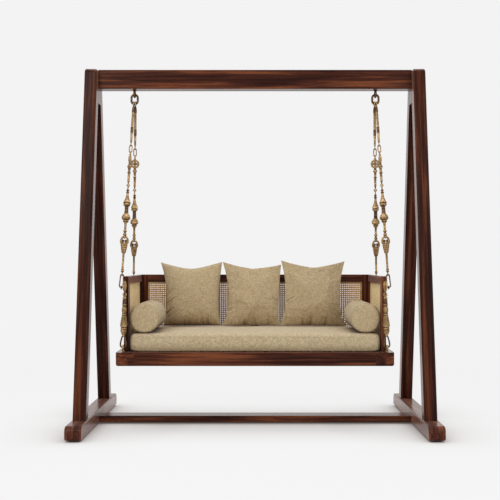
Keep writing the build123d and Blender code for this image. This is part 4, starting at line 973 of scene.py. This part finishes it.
def mattress_pad():
    """Boxed seat pad: crowned top, rounded edges, piped seams along top and bottom."""
    half_x, half_y, middle_y = PAD_HALF_X, PAD_HALF_Y, PAD_MIDDLE_Y
    reach, end_reach = 0.030, 0.060     # how far in corners and ends round off
    middle_z, half_z = (PAD_LOW + PAD_TOP) / 2, (PAD_TOP - PAD_LOW) / 2
    columns, rows = 150, 64
    work = bmesh.new()
    sheets = []
    rims = []
    for face in (1, -1):
        sheet = []
        for row in range(rows + 1):
            line = []
            for column in range(columns + 1):
                u, v = column / columns * 2 - 1, row / rows * 2 - 1
                su, sv = math.sin(u * QUARTER), math.sin(v * QUARTER)
                x, y = su * half_x, sv * half_y
                inset_x = max(abs(x) - (half_x - reach), 0) / reach
                inset_y = max(abs(y) - (half_y - reach), 0) / reach
                near_end = max(abs(x) - (half_x - end_reach), 0) / end_reach
                inset = math.hypot(inset_x, inset_y)
                if inset_x > 0 and inset_y > 0 and inset > 1:
                    shrink = 1 / inset
                    x = math.copysign(half_x - reach + reach * inset_x * shrink, x)
                    y = math.copysign(half_y - reach + reach * inset_y * shrink, y)
                rounding = (((0.018 if face > 0 else 0.006) + 0.012 * near_end ** 2)
                            * (1 - math.sqrt(max(1 - min(inset, 1.0) ** 2.2, 0))))
                z = middle_z + face * (half_z - rounding) + pad_rise(x, middle_y + y, face)
                line.append(work.verts.new((x, middle_y + y, z)))
            sheet.append(line)
        sheets.append(sheet)
        rims.append([sheet[r][c] for r, c in rim_walk(rows, columns)])
    for sheet in sheets:
        skin(work, sheet, closed_ring=False, caps=False)
    top_rim, low_rim = rims
    belts = [top_rim]
    levels = 8
    for level in range(1, levels):
        share = level / levels
        belt = []
        for a, b in zip(top_rim, low_rim):
            place = a.co.lerp(b.co, share)
            out = Vector((place.x / half_x, (place.y - middle_y) / half_y, 0))
            side_ways = Vector((math.copysign(abs(out.x) ** 8, out.x),
                                math.copysign(abs(out.y) ** 8, out.y), 0))
            puff = 0.0018 * math.sin(math.pi * share)
            ripple = noise.noise(place * 9) * 0.0012
            belt.append(work.verts.new(place + side_ways * (puff + ripple)))
        belts.append(belt)
    belts.append(low_rim)
    skin(work, belts, caps=False)
    seam_lines = [[v.co.copy() for v in rim] for rim in rims]
    made = new_piece("mattress_padded", work, (cloth,), "mattress", ("mattress",))
    seams = bmesh.new()
    for line in seam_lines:
        kept = [line[0]]
        for place in line[1:]:
            if (place - kept[-1]).length > 0.004:
                kept.append(place)
        wire(seams, kept, 0.9, sides=6)
    new_piece("mattress_seams", seams, (cloth,), "mattress")
    rounded(made)


mattress_pad()


BOLSTER_GAP = 0.004


def bolster(name, sign):
    """Round bolster: slightly domed ends with a seam round each, and soft dents."""
    radius, front, rear = 0.0870, -0.2895, 0.1095
    middle = Vector((sign * 0.6376, 0, 0.6488))
    sides, end_dome, rounding = 72, 0.004, 0.016
    profile = [(0.0, k / 7 * (radius - rounding)) for k in range(1, 7)]
    for k in range(9):
        angle = QUARTER * k / 8
        profile.append((rounding * (1 - math.cos(angle)),
                        radius - rounding + rounding * math.sin(angle)))
    half = (rear - front) / 2
    body = [(rounding + (half - rounding) * k / 16, radius) for k in range(1, 17)]
    stations = [(front + d, r) for d, r in profile + body]
    stations += [(rear - d, r) for d, r in reversed(profile + body[:-1])]
    work = bmesh.new()
    rings = []
    for y, r in stations:
        ring = []
        dome = end_dome * (1 - (r / radius) ** 2)
        y_here = y + (-dome if y < (front + rear) / 2 else dome)
        for k in range(sides):
            angle = 2 * math.pi * k / sides
            ripple = noise.noise(Vector((math.cos(angle) * 2, math.sin(angle) * 2, y * 9)))
            reach = r * (1 + 0.010 * ripple)
            place = middle + Vector((reach * math.cos(angle), y_here, reach * math.sin(angle)))
            place.z = -soft_limit(-place.z, -(PAD_TOP + BOLSTER_GAP), 0.006)
            ring.append(work.verts.new(place))
        rings.append(ring)
    skin(work, rings)
    made = new_piece(name + "_padded", work, (pillow_cloth,), name, (name,))
    seams = bmesh.new()
    for y in (front + rounding * 0.35, rear - rounding * 0.35):
        reach = radius - rounding * 0.22
        line = [middle + Vector((reach * math.cos(a), y, reach * math.sin(a)))
                for a in (2 * math.pi * k / sides for k in range(sides))]
        wire(seams, line, 1.1, sides=6)
    new_piece(name + "_seams", seams, (piping_cloth,), name)
    rounded(made)


for side, sign in SIDES:
    bolster(f"{side}_bolster", sign)


# ------------------------------------------------------------------ floor, world and lamps
BACKDROP = 0.895
FLOOR_HALF = 30
WORLD_LIGHT = 0.6       # strength of the world's light on the object
floor_mesh = bpy.data.meshes.new("floor")
floor_mesh.from_pydata([(x * FLOOR_HALF, y * FLOOR_HALF, 0)
                        for x, y in ((-1, -1), (1, -1), (1, 1), (-1, 1))], [], [(0, 1, 2, 3)])
floor = bpy.data.objects.new("floor", floor_mesh)
bpy.context.scene.collection.objects.link(floor)
floor_material = bpy.data.materials.new("pale_floor")
floor_material.use_nodes = True


def seen_directly(tree):
    """1 where the camera, a reflection or glass looks at the surface, else 0."""
    ray = put(tree, "LightPath")
    direct = maths(tree, "MAXIMUM", ray.outputs["Is Camera Ray"], ray.outputs["Is Glossy Ray"])
    return maths(tree, "MAXIMUM", direct, ray.outputs["Is Transmission Ray"])


tree = floor_material.node_tree
tree.nodes.clear()
distance = put(tree, "VectorMath", {0: object_place(tree)}, operation="LENGTH").outputs["Value"]
near = put(tree, "MapRange", {"Value": distance, "From Min": 1.4, "From Max": 4.5,
                              "To Min": 0.12, "To Max": 0.0}, interpolation_type="SMOOTHSTEP")
# painted shadow: the floor's glow darkens where the swing shuts the light out round and under it
shadow = patina_and_painted_shade(tree, 0.5, ((0.15, srgb(84, 76, 72)), (0.42, srgb(166, 158, 154)),
                             (0.62, srgb(211, 206, 203)), (0.84, srgb(238, 236, 235)),
                             (0.98, grey(1.0))), samples=16)
lit = put(tree, "BsdfDiffuse", {"Color": grey(0.9)})
glow = put(tree, "Emission", {"Color": darkened(tree, shadow, grey(BACKDROP)), "Strength": 1.0})
seen = put(tree, "MixShader", {0: near.outputs["Result"], 1: glow.outputs["Emission"],
                               2: lit.outputs["BSDF"]})
shown = put(tree, "MixShader", {0: seen_directly(tree), 1: lit.outputs["BSDF"],
                                2: seen.outputs["Shader"]})
put(tree, "OutputMaterial", {"Surface": shown.outputs["Shader"]})
floor_mesh.materials.append(floor_material)

world = bpy.data.worlds.new("studio")
bpy.context.scene.world = world
world.use_nodes = True
tree = world.node_tree
tree.nodes.clear()
soft = put(tree, "Background", {"Color": grey(1.0), "Strength": WORLD_LIGHT})
backdrop = put(tree, "Background", {"Color": grey(BACKDROP), "Strength": 1.0})
shown = put(tree, "MixShader", {0: seen_directly(tree), 1: soft.outputs["Background"],
                                2: backdrop.outputs["Background"]})
put(tree, "OutputWorld", {"Surface": shown.outputs["Shader"]})


def lamp(name, place, target, size, power):
    data = bpy.data.lights.new(name, "AREA")
    data.size = size
    data.energy = power
    made = bpy.data.objects.new(name, data)
    made.location = place
    made.rotation_euler = (Vector(target) - Vector(place)).to_track_quat("-Z", "Y").to_euler()
    bpy.context.scene.collection.objects.link(made)


lamp("key", (-2.6, -3.6, 3.6), (0, 0, 0.9), 2.4, 80)
lamp("fill", (3.0, -3.4, 2.4), (0, 0, 0.9), 2.4, 44)
lamp("top", (0, 0.4, 4.4), (0, 0, 0.6), 3.0, 90)
